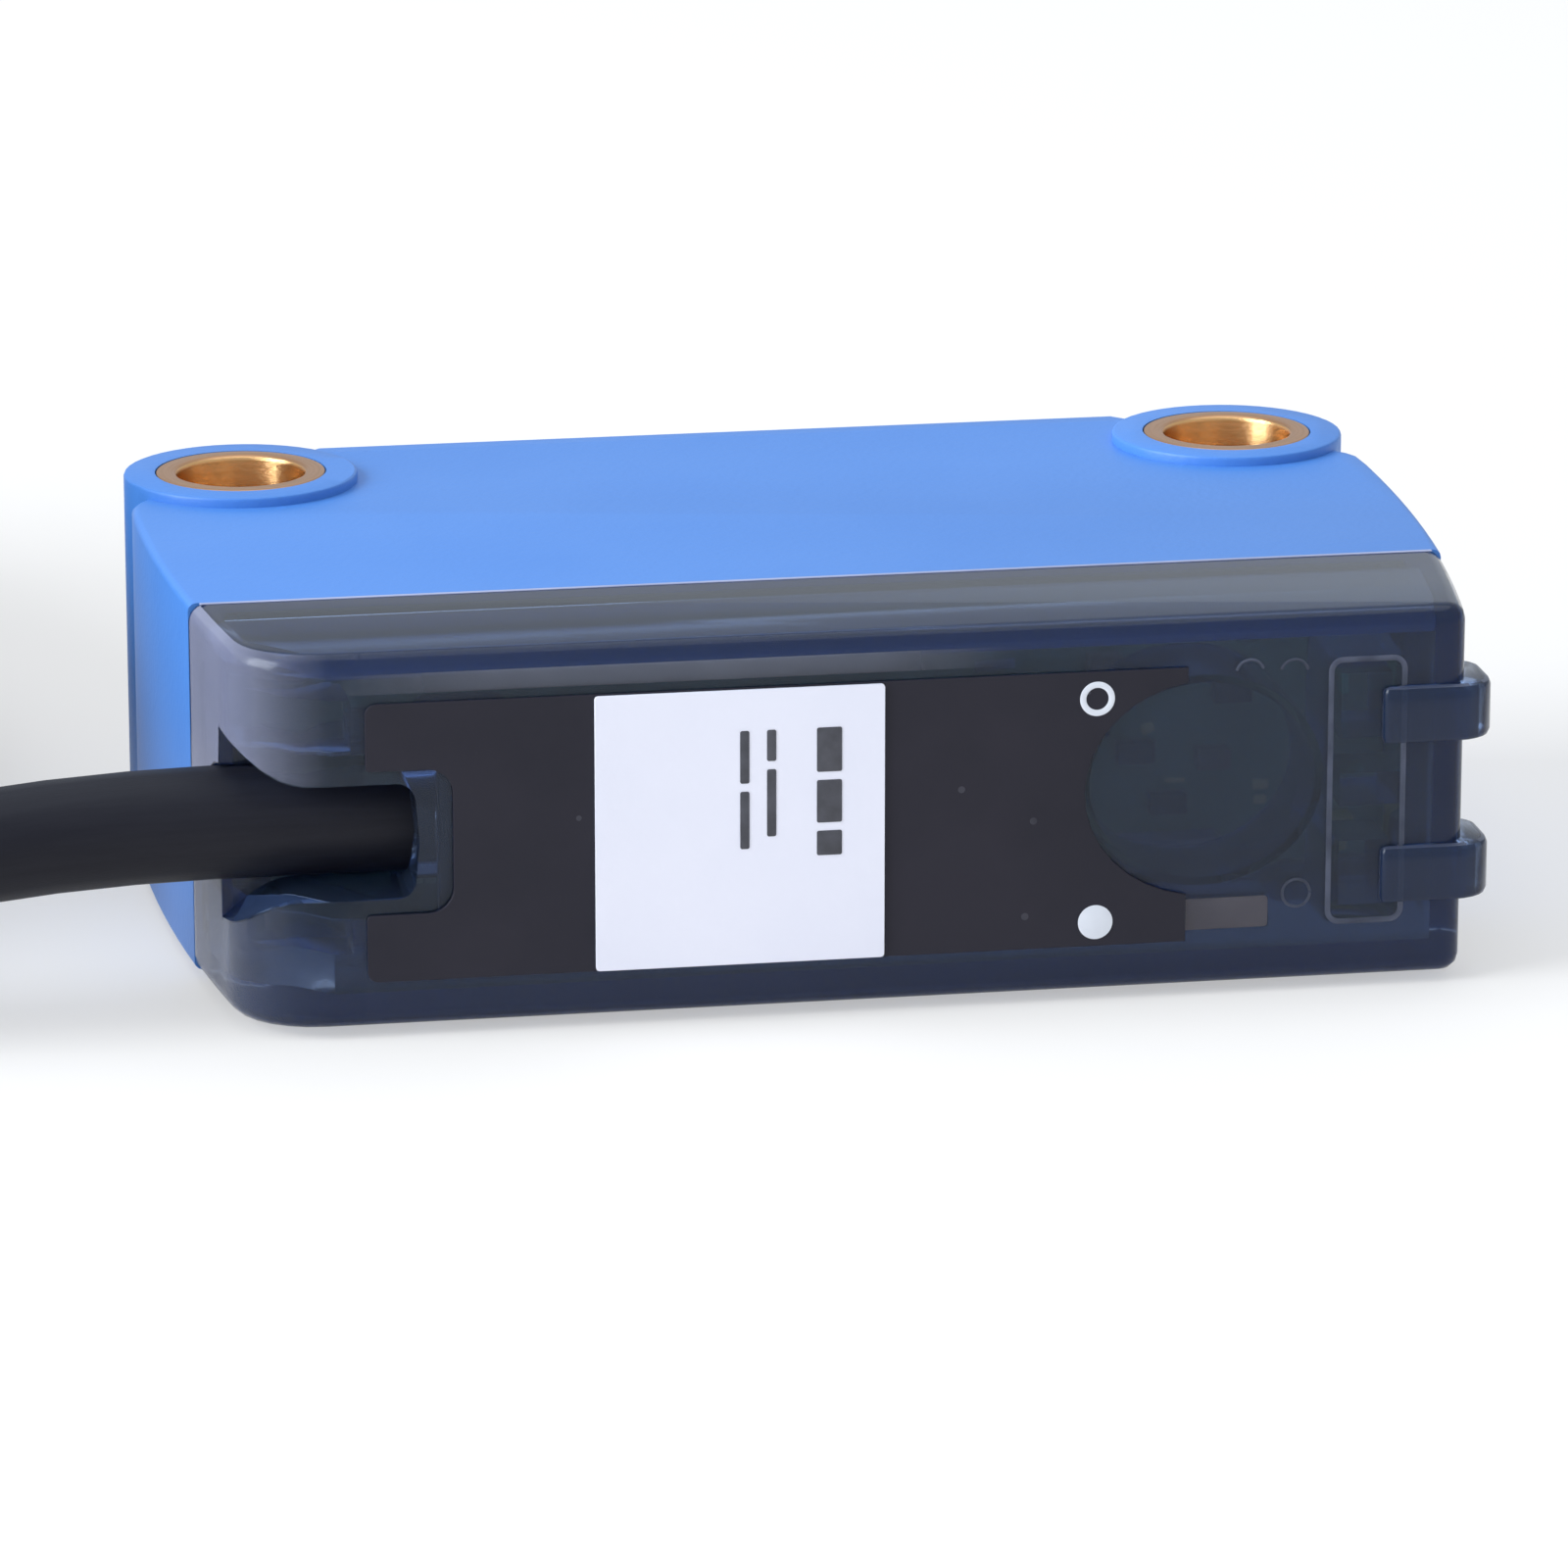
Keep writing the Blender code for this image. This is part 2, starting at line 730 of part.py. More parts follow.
def make_small_parts():
    resistors = [(6.4, 5.6), (7.5, 4.9), (8.3, 3.6), (9.9, 6.3), (-5.2, 2.4)]
    for k, (x, z) in enumerate(resistors, 1):
        box(f"chip_resistor_{k}", *on_board(x * MM, z * MM, *chip_resistor_size), chip_black)
    capacitors = [(6.7, 7.0), (9.4, 4.7), (4.9, 2.9), (0.0, 2.5)]
    for k, (x, z) in enumerate(capacitors, 1):
        box(f"ceramic_capacitor_{k}", *on_board(x * MM, z * MM, *ceramic_capacitor_size), ceramic_tan)
    low, high = on_board(*storage_capacitor_place, *storage_capacitor_size)
    round_edges(box("storage_capacitor", low, high, ceramic_grey), indicator_edge_radius, segments=1)


def make_leds():
    """Two indicator lamps under the light-guide frames of the cover."""
    for name, side, resin in (("led_green", 1, led_green_resin), ("led_yellow", -1, led_yellow_resin)):
        low, high = on_board(frame_x, mid_z + side * lug_spacing / 2, *indicator_size)
        round_edges(box(name, low, high, resin), indicator_edge_radius, segments=2)


def make_board_pins():
    """Square pins that join the two boards, held in a black strip."""
    half, z = pin_width / 2, mid_z - pin_drop
    start, stop = main_board_y + film_gap, optics_board_y - film_gap
    edge, foot = pin_count * pin_pitch / 2, start + pin_strip_stand_off
    strip = box(
        "pin_strip", (-edge, foot, z - pin_strip_height / 2),
        (edge, foot + pin_strip_length, z + pin_strip_height / 2), black_plastic,
    )
    room = half + pin_room
    for k in range(pin_count):
        x = (k - (pin_count - 1) / 2) * pin_pitch
        box(f"board_pin_{k + 1}", (x - half, start, z - half), (x + half, stop, z + half), gold_plate)
        hole = box("pin_hole", (x - room, start - cut_margin, z - room), (x + room, stop, z + room))
        cut(strip, hole)


# Rear cover
def cover_outline():
    """From the seam round the rear, with a wide corner at the cable end and a tight one opposite."""
    start = seam_y - seam_gap
    right = end_wall(start, rear_y + plain_corner_radius)
    tip_x = end_x(rear_y)
    right += rounded([(end_x(rear_y + plain_corner_radius), rear_y + plain_corner_radius, 0),
                      (tip_x, rear_y, plain_corner_radius * 0.95), (0, rear_y, 0)])[1:-1]
    left = end_wall(start, rear_y + cover_corner_radius)
    left += rounded([(end_x(rear_y + cover_corner_radius), rear_y + cover_corner_radius, 0),
                     (tip_x, rear_y, cover_corner_radius * 0.95), (0, rear_y, 0)])[1:-1]
    return right + mirrored(left)


def make_cover():
    made = prism("rear_cover", cover_outline(), low_z, high_z, smoked_plastic)
    start = seam_y - seam_gap

    def rear_edge(a, b):
        flat = abs(a.z - b.z) < 1e-6
        on_seam = abs(a.y - start) < 1e-6 and abs(b.y - start) < 1e-6
        return flat and not on_seam

    weigh_edges(made, rear_edge)
    round_edges(made, cover_edge_radius, weighted=True)
    # Tongue that slides into the housing
    inset = side_wall + fit_gap
    tongue_line = end_wall(seam_y + tongue_length, start - tongue_root, inset)
    tongue = prism("tongue", tongue_line + mirrored(tongue_line), low_z + inset, high_z - inset)
    join(made, tongue)
    # Light lugs that wrap over the corner
    for side in (-1, 1):
        z = mid_z + side * lug_spacing / 2
        join(made, make_lug(z))
    # Hollow: through the tongue, then wider behind its shoulder
    inset += tongue_wall
    passage_line = end_wall(seam_y + tongue_length + cut_margin, start - shoulder_depth - fit_gap, inset)
    passage = prism("passage", passage_line + mirrored(passage_line), low_z + inset, high_z - inset)
    room_line = end_wall(start - shoulder_depth, rear_inside_y, cover_wall)
    left_room = [p for p in room_line if p[1] > rear_inside_y + cover_corner_radius - cover_wall]
    left_room += [(room_line[-1][0] - (cover_corner_radius - cover_wall), rear_inside_y)]
    room = prism("room", room_line + mirrored(left_room), low_z + cover_wall, high_z - cover_wall)
    hollow = outlet_block()
    for solid in (hollow, make_well(), make_light_frame(), *make_ribs()):
        cut(room, solid)
    cut(made, passage, room)
    for cutter in outlet_cutters():
        cut(made, cutter)
    return made


def make_lug(z):
    """A rounded bar over the rear corner, proud of the rear face and of the end."""
    right = end_x(rear_y) + lug_reach
    low_y = rear_y - lug_proud
    made = prism(
        "lug",
        rounded([
            (lug_start, low_y, lug_edge_radius), (right, low_y, lug_corner),
            (right, low_y + lug_depth, lug_inner_corner), (lug_start, low_y + lug_depth, 0),
        ]),
        z - lug_height / 2, z + lug_height / 2,
    )
    return round_edges(made, lug_edge_radius, segments=2)


def well_oval(margin, start=0.0, steps=round_segments):
    """Points round the well, kept a margin outside its wall, from one angle on to its mirror."""
    half_w, half_h = well_half_width + margin, well_half_height + margin
    turn = 2 * pi - 2 * start
    return [
        (well_x + half_w * cos(a), mid_z + well_lift + half_h * sin(a))
        for a in (start + turn * k / steps for k in range(steps + (start > 0)))
    ]


def make_well():
    """Oval well of the adjuster that this version does without."""
    low, high = rear_inside_y - rib_root, rear_inside_y + well_depth
    made = prism("well", well_oval(0.0), low, high, plane="XZ")
    bore = prism("well_bore", well_oval(-well_wall), low - cut_margin, high + cut_margin, plane="XZ")
    cut(made, bore)
    return made


def make_light_frame():
    """Frame with a pocket over each indicator and a bar between them."""
    y0, y1 = rear_inside_y - rib_root, rear_inside_y + frame_depth
    half_w, half_h = frame_width / 2, frame_height / 2
    made = box(
        "light_frame", (frame_x - half_w, y0, mid_z - half_h), (frame_x + half_w, y1, mid_z + half_h)
    )
    pocket_half = lug_height / 2 + frame_pocket_margin
    for side in (-1, 1):
        z = mid_z + side * (half_h - frame_wall - pocket_half - frame_bar / 2)
        pocket = box(
            "pocket",
            (frame_x - half_w + frame_wall, y0 - cut_margin, z - pocket_half),
            (frame_x + half_w - frame_wall, y1 + cut_margin, z + pocket_half),
        )
        cut(made, pocket)
    slot = box(
        "slot", (frame_x - half_w + frame_wall, y0 - cut_margin, mid_z - frame_slot_height / 2),
        (frame_x + half_w + cut_margin, y1 + cut_margin, mid_z + frame_slot_height / 2),
    )
    cut(made, slot)
    return made


def make_ribs():
    """Two short ribs beside the cable outlet, and the rest under the adjuster well."""
    return [
        box(
            name, (x - length / 2, rear_inside_y - rib_root, mid_z + lift - height / 2),
            (x + length / 2, rear_inside_y + depth, mid_z + lift + height / 2),
        )
        for name, x, lift, length, height, depth in (
            ("upper_clip", -clip_x, upper_clip_lift, clip_length, upper_clip_height, clip_depth),
            ("lower_clip", -clip_x, lower_clip_lift, clip_length, lower_clip_height, clip_depth),
            ("rest", well_x, rest_lift, rest_length, rest_height, rest_depth),
        )
    ]


def outlet_block():
    """The solid that the cable's channel is cut from."""
    reach = cable_diameter / 2 + cable_gap + outlet_wall
    return box(
        "outlet_block", (-crest_x, rear_y - cut_margin, mid_z - reach),
        (outlet_end_x + outlet_wall, cable_y + reach, mid_z + reach),
    )


def outlet_cutters():
    """A round-bottomed channel open to the rear, its flared mouth, and the hole for the cable."""
    radius = cable_diameter / 2 + cable_gap
    left = -crest_x - cut_margin
    hole_length = outlet_end_x + outlet_wall + cut_margin - left
    hole = cone("cable_hole", radius, radius, (left, cable_y, mid_z), hole_length, axis="X")
    channel = prism(
        "channel",
        rounded([
            (left, mid_z - radius, 0), (outlet_end_x, mid_z - radius, outlet_corner),
            (outlet_end_x + outlet_crown, mid_z, 0), (outlet_end_x, mid_z + radius, outlet_corner),
            (left, mid_z + radius, 0),
        ]),
        rear_y - cut_margin, cable_y, plane="XZ",
    )
    mouth_x = -end_x(cable_y)
    flare_start = mouth_x + outlet_flare_length
    run = flare_start - mouth_x + 2 * outlet_crown
    steps = 6
    wide = [
        (flare_start - run * k / steps, radius + outlet_flare * (1 - cos(pi / 2 * k / steps)))
        for k in range(steps + 1)
    ]
    mouth = prism(
        "mouth",
        [(flare_start + outlet_crown, mid_z - radius)] + [(x, mid_z - r) for x, r in wide]
        + [(left, mid_z - wide[-1][1]), (left, mid_z + wide[-1][1])]
        + [(x, mid_z + r) for x, r in reversed(wide)] + [(flare_start + outlet_crown, mid_z + radius)],
        rear_y - cut_margin, cable_y, plane="XZ",
    )
    return hole, channel, mouth


# Cable entry inside the cover
def make_grommet():
    x0 = outlet_end_x + outlet_wall + fit_gap
    radius = cable_diameter / 2 + cable_gap / 2
    half = cable_diameter / 2 + grommet_wall_side
    made = prism(
        "cable_grommet",
        rectangle(x0, mid_z - half, x0 + grommet_length, mid_z + half, grommet_corner, steps=3),
        cable_y - radius - grommet_wall_rear, main_board_y - board_thickness - film_gap,
        grommet_rubber, plane="XZ",
    )
    bore_length = grommet_length + 2 * cut_margin
    bore = cone("grommet_bore", radius, radius, (x0 - cut_margin, cable_y, mid_z), bore_length, axis="X")
    cut(made, bore)
    return made


def make_leads():
    """Three insulated conductors from the jacket's end to their pads on the board."""
    pad_y = main_board_y - board_thickness - conductor_diameter / 2 - film_gap
    for k, (name, made_of) in enumerate((
        ("lead_brown", wire_brown_pvc), ("lead_blue", wire_blue_pvc), ("lead_black", wire_black_pvc),
    )):
        around = 2 * pi * k / 3 + pi / 2
        y = cable_y - conductor_offset * sin(around)
        z = mid_z + conductor_offset * cos(around)
        pad_z = mid_z + (0, -1, 1)[k] * pad_spacing
        route = [
            Vector((cable_end_x + fit_gap, y, z)),
            Vector((cable_end_x + lead_straight, y, z)),
            Vector((cable_end_x + lead_middle, (y + pad_y) / 2, (z + pad_z) / 2)),
            Vector((cable_end_x + lead_landing, pad_y - board_margin, pad_z)),
            Vector((cable_end_x + lead_length, pad_y, pad_z)),
        ]
        tube(name, smooth_route(route, conductor_diameter), conductor_diameter, made_of)


# Label and sticker
def make_label():
    """A dark film on the rear face, cut out round the cable outlet and round the well."""
    half = label_height / 2
    top, bottom = mid_z + half, mid_z - half
    notch = cable_diameter / 2 + cable_gap + label_notch_margin
    notch_x = outlet_end_x + label_notch_depth
    meet = acos((label_right - well_x) / (well_half_width + label_well_margin))
    arc = well_oval(label_well_margin, meet, steps=16)[::-1]
    right = [(label_right, bottom)] + arc + [(label_right, top)]
    left = rounded([
        (label_right, top, 0), (label_left, top, label_corner),
        (label_left, mid_z + notch, label_tip_corner), (notch_x, mid_z + notch, label_notch_corner),
        (notch_x, mid_z - notch, label_notch_corner), (label_left, mid_z - notch, label_tip_corner),
        (label_left, bottom, label_corner), (label_right, bottom, 0),
    ])[1:-1]
    low = rear_y - film_gap - label_thickness
    return prism("label_plate", right + left, low, low + label_thickness, label_black, plane="XZ")


def make_sticker():
    high = rear_y - film_gap - label_thickness - film_gap / 2
    return prism(
        "sticker",
        rectangle(
            sticker_left, mid_z - sticker_height / 2,
            sticker_left + sticker_width, mid_z + sticker_height / 2, sticker_corner, steps=2,
        ),
        high - sticker_thickness, high, sticker_white, plane="XZ",
    )


# Cable: straight out of its channel, then down to the level of the coil's lowest layer
def ease(share):
    """Smooth step from 0 to 1."""
    share = max(0.0, min(1.0, share))
    return share * share * (3 - 2 * share)


def make_cable():
    drop = mid_z - coil_lift - turn_pitch / 2
    steps = 5
    points = [Vector((cable_end_x, cable_y, mid_z)), Vector((outlet_end_x, cable_y, mid_z))]
    for k in range(steps + 1):
        gone = sag_reach * k / steps
        points.append(Vector((sag_start_x - gone, cable_y, mid_z - drop * ease(gone / sag_length))))
    tube("cable", smooth_route(points, 2 * cable_diameter), cable_diameter, cable_jacket)


def make_coil():
    """The outer shape of the wound turns: a ring with rounded corners."""
    r = coil_corner
    arcs = []
    for cx, cz, a0 in (
        (coil_outer - r, coil_top - r, pi / 2), (coil_outer - r, coil_lift + r, 0),
        (coil_inner + r, coil_lift + r, -pi / 2), (coil_inner + r, coil_top - r, -pi),
    ):
        arcs += [(cx + r * cos(a0 - pi / 2 * k / 3), cz + r * sin(a0 - pi / 2 * k / 3)) for k in range(4)]
    made = turned("cable_coil", arcs, cable_jacket, closed=True)
    made.location = (coil_x, coil_y, 0)
    return made


def make_tie():
    """A strap round the coil's turns with its lock on top."""
    inner0, inner1 = coil_inner - tie_gap, coil_outer + tie_gap
    low, high = coil_lift - tie_gap, coil_top + tie_gap
    t = tie_thickness
    outer = prism(
        "coil_tie", rectangle(inner0 - t, low - t, inner1 + t, high + t, tie_corner, steps=4),
        -tie_width / 2, tie_width / 2, tie_nylon, plane="XZ",
    )
    inner = prism(
        "tie_inside", rectangle(inner0, low, inner1, high, tie_corner - t, steps=4),
        -tie_width, tie_width, plane="XZ",
    )
    foot, half = high + t / 2, tie_width * tie_lock_share
    lock = box(
        "tie_lock", (coil_mean_radius, -half, foot),
        (coil_mean_radius + tie_lock_length, half, foot + tie_lock_height),
    )
    cut(outer, inner)
    join(outer, lock)
    spin = Matrix.Translation((coil_x, coil_y, 0)) @ Matrix.Rotation(tie_angle, 4, "Z")
    for item in (outer, inner, lock):
        item.data.transform(spin)
    return outer


def on_coil(angle, radius, z):
    return Vector((coil_x + radius * cos(angle), coil_y + radius * sin(angle), z))


def make_free_end():
    """The last of the cable lies on the coil; its stripped conductors fan out with tinned ends."""
    z = coil_top + fit_gap + cable_diameter / 2
    steps = 6
    arc = [
        on_coil(tail_start + (tail_end - tail_start) * k / steps, coil_mean_radius, z)
        for k in range(steps + 1)
    ]
    tube("cable_tail", smooth_route(arc, 1.2 * cable_diameter), cable_diameter, cable_jacket)
    rest_z = coil_top + fit_gap + wire_diameter / 2
    for k, (colour, made_of) in enumerate((
        ("brown", wire_brown_pvc), ("blue", wire_blue_pvc), ("black", wire_black_pvc),
    )):
        around = 2 * pi * k / 3 - pi / 2
        offset = wire_offset * cos(around)
        lift = wire_offset * sin(around)
        side = (0, 1, -1)[k] * wire_spread
        route = []
        for share in (0.0, 0.08, 0.2, 0.35, 0.6, 1.0):
            radius = coil_mean_radius + offset + (side - offset) * ease(share / 0.6)
            height = z + lift + (rest_z - z - lift) * ease(share / 0.5)
            angle = tail_end - (wire_gap + share * wire_length) / coil_mean_radius
            route.append(on_coil(angle, radius, height))
        line = smooth_route(route, 2.0 * wire_diameter)
        tube("wire_" + colour, line, wire_diameter, made_of)
        ahead = (line[-1] - line[-2]).normalized()
        start = line[-1] + ahead * fit_gap
        tube("tip_" + colour, [start, start + ahead * tip_length], tip_diameter, tinned_copper)


make_housing()
make_bushing("bushing_left", -1)
make_bushing("bushing_right", 1)
make_window()
make_carrier()
make_lens("lens_emitter", -1)
make_lens("lens_receiver", 1)
make_optics_board()
make_emitter()
make_receiver()
make_main_board()
make_chip("controller_chip", -0.5 * MM, mid_z, 3.4 * MM, 2.6 * MM, 0.9 * MM, 5, chip_black)
make_chip("output_driver", 2.6 * MM, mid_z + 0.2 * MM, 1.8 * MM, 1.5 * MM, 0.8 * MM, 3, chip_black)
make_small_parts()
make_leds()
make_board_pins()
make_cover()
make_grommet()
make_leads()
make_label()
make_sticker()
make_cable()
make_coil()
make_tie()
make_free_end()
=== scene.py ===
# %% [markdown]
# A miniature photoelectric switch, dressed as it is seen in its photograph. The switch lies on one
# of its broad sides: a blue housing, a smoked rear cover that is turned to the camera, two brass
# bushings, a label, and a thin black cable that leaves through a channel in the cover.
# The imported CAD model is loaded first. It says where everything is. A new piece that stands for
# some of its nodes names them, so the shapes can get finer without moving anything.

# %% Load the frame
from math import cos, pi, radians, sin

import bmesh
import bpy
import numpy as np
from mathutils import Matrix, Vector


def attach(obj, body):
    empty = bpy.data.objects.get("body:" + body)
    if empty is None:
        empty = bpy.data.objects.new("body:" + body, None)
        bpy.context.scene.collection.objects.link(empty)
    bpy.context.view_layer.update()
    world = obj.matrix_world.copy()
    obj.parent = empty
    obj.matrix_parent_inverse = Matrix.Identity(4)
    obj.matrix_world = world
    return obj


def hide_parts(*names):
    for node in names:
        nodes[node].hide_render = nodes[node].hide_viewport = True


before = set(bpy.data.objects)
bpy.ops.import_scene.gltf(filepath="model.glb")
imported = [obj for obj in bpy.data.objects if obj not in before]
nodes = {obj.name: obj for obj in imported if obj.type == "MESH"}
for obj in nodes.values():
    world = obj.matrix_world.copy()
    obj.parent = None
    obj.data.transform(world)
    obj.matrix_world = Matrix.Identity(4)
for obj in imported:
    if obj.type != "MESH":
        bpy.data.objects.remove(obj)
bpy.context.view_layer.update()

MM = 0.001

# %% [markdown]
# The camera comes first. It stands where the photographer stood: a long lens, a little to the
# left of the switch and 16 degrees above it, so the near face is almost square to the view.

# %% Camera
CAMERA_PLACE = (-34.600 * MM, -197.328 * MM, 59.494 * MM)
YAW, PITCH, LENS_MM = radians(9.925), radians(15.807), 192.6
view_direction = Vector((sin(YAW) * cos(PITCH), cos(YAW) * cos(PITCH), -sin(PITCH)))
camera = bpy.data.objects.new("camera", bpy.data.cameras.new("camera"))
camera.data.lens = LENS_MM
camera.data.sensor_width = 36.0
camera.data.clip_start = 0.01
camera.location = CAMERA_PLACE
camera.rotation_euler = view_direction.to_track_quat("-Z", "Y").to_euler()
bpy.context.scene.collection.objects.link(camera)
bpy.context.scene.camera = camera
print("camera looks along", tuple(round(v, 3) for v in view_direction))

# %% [markdown]
# Every new piece is a surface worked out in numpy. The helpers turn arrays into meshes: one joins
# a grid of points with four-sided faces, one hands the arrays to Blender, and one makes the piece
# ride on the model's one body. Lengths are written in millimetres and scaled at the end.

# %% From arrays to a piece
def grid_faces(rows, columns, close_rows=False):
    """Faces of a grid that is closed across: (i, j), (i, j+1), (i+1, j+1) and (i+1, j)."""
    i, j = np.meshgrid(
        np.arange(rows if close_rows else rows - 1), np.arange(columns), indexing="ij",
    )
    down, across = (i + 1) % rows, (j + 1) % columns
    return np.stack(
        [i * columns + j, i * columns + across, down * columns + across, down * columns + j], -1
    ).reshape(-1, 4)


def capped(rings, first=0):
    """Faces of a closed stack of rings (count, around, 3) whose points start at a given number."""
    count, around = rings.shape[:2]
    last = first + (count - 1) * around
    faces = (grid_faces(count, around) + first).tolist()
    return faces + [list(range(first, first + around)), list(range(last, last + around))]


def settle(made, material, replaces=()):
    """Gives a finished object its material, its body and the CAD nodes it stands for."""
    if material is not None:
        made.data.materials.clear()
        made.data.materials.append(material)
    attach(made, "root")
    if replaces:
        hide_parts(*replaces)
    return made


def mesh_object(name, points, faces, sharp=35.0):
    """A mesh from points in millimetres and faces. Edges steeper than sharp degrees stay hard."""
    mesh = bpy.data.meshes.new(name)
    mesh.from_pydata((np.asarray(points, float).reshape(-1, 3) * MM).tolist(), [], faces)
    work = bmesh.new()
    work.from_mesh(mesh)
    bmesh.ops.recalc_face_normals(work, faces=work.faces)
    work.to_mesh(mesh)
    work.free()
    mesh.shade_smooth()
    mesh.set_sharp_from_angle(angle=radians(sharp))
    made = bpy.data.objects.new(name, mesh)
    bpy.context.scene.collection.objects.link(made)
    return made


def skin(name, rings, sharp=35.0):
    """A closed solid through rings of points, capped at both ends."""
    rings = np.asarray(rings, float)
    return mesh_object(name, rings, capped(rings), sharp)


# %% [markdown]
# The cable is a black PVC jacket of 2.7 mm. It leaves its channel straight, sags to the table and
# goes on into a neat coil that lies just outside the picture on the left. Each turn of the coil
# holds its place in a stack of five columns and four layers where the tie holds it, and eases
# into the next place on the rest of its way round, as a hand-wound coil does. The whole
# centreline is one array of points, and the jacket is a round profile carried along it.

# %% The cable's centreline
CABLE_D, CABLE_Y, MID_Z = 2.7, -7.9825, 4.8
COIL_X, COIL_Y, COIL_PITCH, COIL_COLUMNS = -43.0, 13.7375, 2.76, 5
COIL_OUTER_R, COIL_LOW_Z = 21.72, 1.98
TURNS, POINTS_PER_TURN = 19.45, 48
TIE_SHARE, EASE_FROM, EASE_LENGTH = 0.25, 0.06, 0.88
TAIL_R, TAIL_Z = 16.2, 13.04


def around_coil(radius, angle, height):
    """Points about the coil's axis: (x0 + r cos a, y0 + r sin a, z)."""
    return np.stack([COIL_X + radius * np.cos(angle), COIL_Y + radius * np.sin(angle), height], -1)


def coil_place(turn):
    """Column radius and layer height of each numbered turn, out and in by turns, as (r, z)."""
    layer = turn // COIL_COLUMNS
    step = turn % COIL_COLUMNS
    column = np.where(layer % 2 == 0, step, COIL_COLUMNS - 1 - step)
    return COIL_OUTER_R - column * COIL_PITCH, COIL_LOW_Z + layer * COIL_PITCH


def ease(share):
    """Smooth step: 3s^2 - 2s^3, held at 0 and 1 outside."""
    share = np.clip(share, 0.0, 1.0)
    return share * share * (3 - 2 * share)


def coil_path():
    """Clockwise turns: the radius and height ease from one place to the next between two passes
    of the tie, and where a layer ends the turn swings round its neighbours as it climbs."""
    t = np.arange(0, TURNS, 1 / POINTS_PER_TURN)
    past_tie = t - TIE_SHARE
    number = np.floor(past_tie).astype(int)
    share = ease((past_tie - number - EASE_FROM) / EASE_LENGTH)
    r0, z0 = coil_place(np.maximum(number, 0))
    r1, z1 = coil_place(np.maximum(number + 1, 0))
    swing = COIL_PITCH * np.maximum(
        np.sqrt(1 - share**2) - (1 - share), np.sqrt(1 - (1 - share) ** 2) - share
    )
    outward = np.where(r0 > TAIL_R, 1.0, -1.0)
    radius = r0 + (r1 - r0) * share + np.where(z1 != z0, outward * swing, 0.0)
    return around_coil(radius, -pi / 2 - 2 * pi * t, z0 + (z1 - z0) * share)


def even_steps(points, step):
    """The same line through points at even steps, by straight interpolation of a dense curve."""
    along = np.concatenate([[0], np.cumsum(np.linalg.norm(np.diff(points, axis=0), axis=1))])
    want = np.linspace(0, along[-1], int(round(along[-1] / step)) + 1)
    return np.stack([np.interp(want, along, points[:, k]) for k in range(3)], -1)


def smooth_line(points, per_span=24):
    """A Catmull-Rom curve: each span blends its four nearest points with cubic weights."""
    p = np.concatenate([[2 * points[0] - points[1]], points, [2 * points[-1] - points[-2]]])
    t = (np.arange(per_span) / per_span)[None, :, None]
    a, b, c, d = p[:-3, None], p[1:-2, None], p[2:-1, None], p[3:, None]
    square, cube = 2 * a - 5 * b + 4 * c - d, 3 * b - a - 3 * c + d
    line = b + 0.5 * ((c - a) * t + square * t**2 + cube * t**3)
    return np.concatenate([line.reshape(-1, 3), p[-2:-1]])


SAG_START_X, SAG_LENGTH, SAG_REACH = -15.3, 24.7, 16.3
INSIDE_X, CHANNEL_X, TOUCH_X, TOUCH_LIFT = -7.55, -10.65, -37.0, 0.08
gone = np.linspace(0, SAG_REACH, 6)
sag = np.stack([SAG_START_X - gone, 0 * gone, -(MID_Z - COIL_LOW_Z) * ease(gone / SAG_LENGTH)], -1)
lead_out = np.concatenate([
    [(INSIDE_X, 0, 0), (CHANNEL_X, 0, 0)], sag, [(TOUCH_X, 0, COIL_LOW_Z - MID_Z + TOUCH_LIFT)],
]) + (0.0, CABLE_Y, MID_Z)
coil_line = coil_path()

# The end climbs off the last turn first and then moves in over the coil's top, where it rests
TOP_START, TOP_SWEEP, RAMP_POINTS, TOP_POINTS = radians(10), radians(70), 26, 28
LINE_STEP = 1.9
last_angle = -pi / 2 - 2 * pi * TURNS
last_r, last_z = np.hypot(*(coil_line[-1, :2] - (COIL_X, COIL_Y))), coil_line[-1, 2]
top_angle = last_angle - (last_angle - TOP_START) % (2 * pi)
ramp = np.linspace(0.04, 1.0, RAMP_POINTS)
inward, upward = ease((ramp - 0.15) / 0.85), ease(ramp / 0.5)
tail_r = np.concatenate([last_r + (TAIL_R - last_r) * inward, np.full(TOP_POINTS, TAIL_R)])
tail_z = np.concatenate([last_z + (TAIL_Z - last_z) * upward, np.full(TOP_POINTS, TAIL_Z)])
tail_angle = np.concatenate([
    last_angle + (top_angle - last_angle) * ramp,
    top_angle - TOP_SWEEP * np.linspace(0.03, 1.0, TOP_POINTS),
])
tail_line = around_coil(tail_r, tail_angle, tail_z)
cable_line = even_steps(np.concatenate([smooth_line(lead_out), coil_line, tail_line]), LINE_STEP)
cable_length = np.linalg.norm(np.diff(cable_line, axis=0), axis=1).sum()
print("cable centreline:", len(cable_line), "points,", round(cable_length / 1000, 4), "m")

# %% [markdown]
# A round profile is carried along the line. At each point the profile stands in the plane that is
# square to the line, with one axis level, so it never twists. The jacket also gets a UV map that
# runs around and along it, for the fine drawing lines that its material shows.

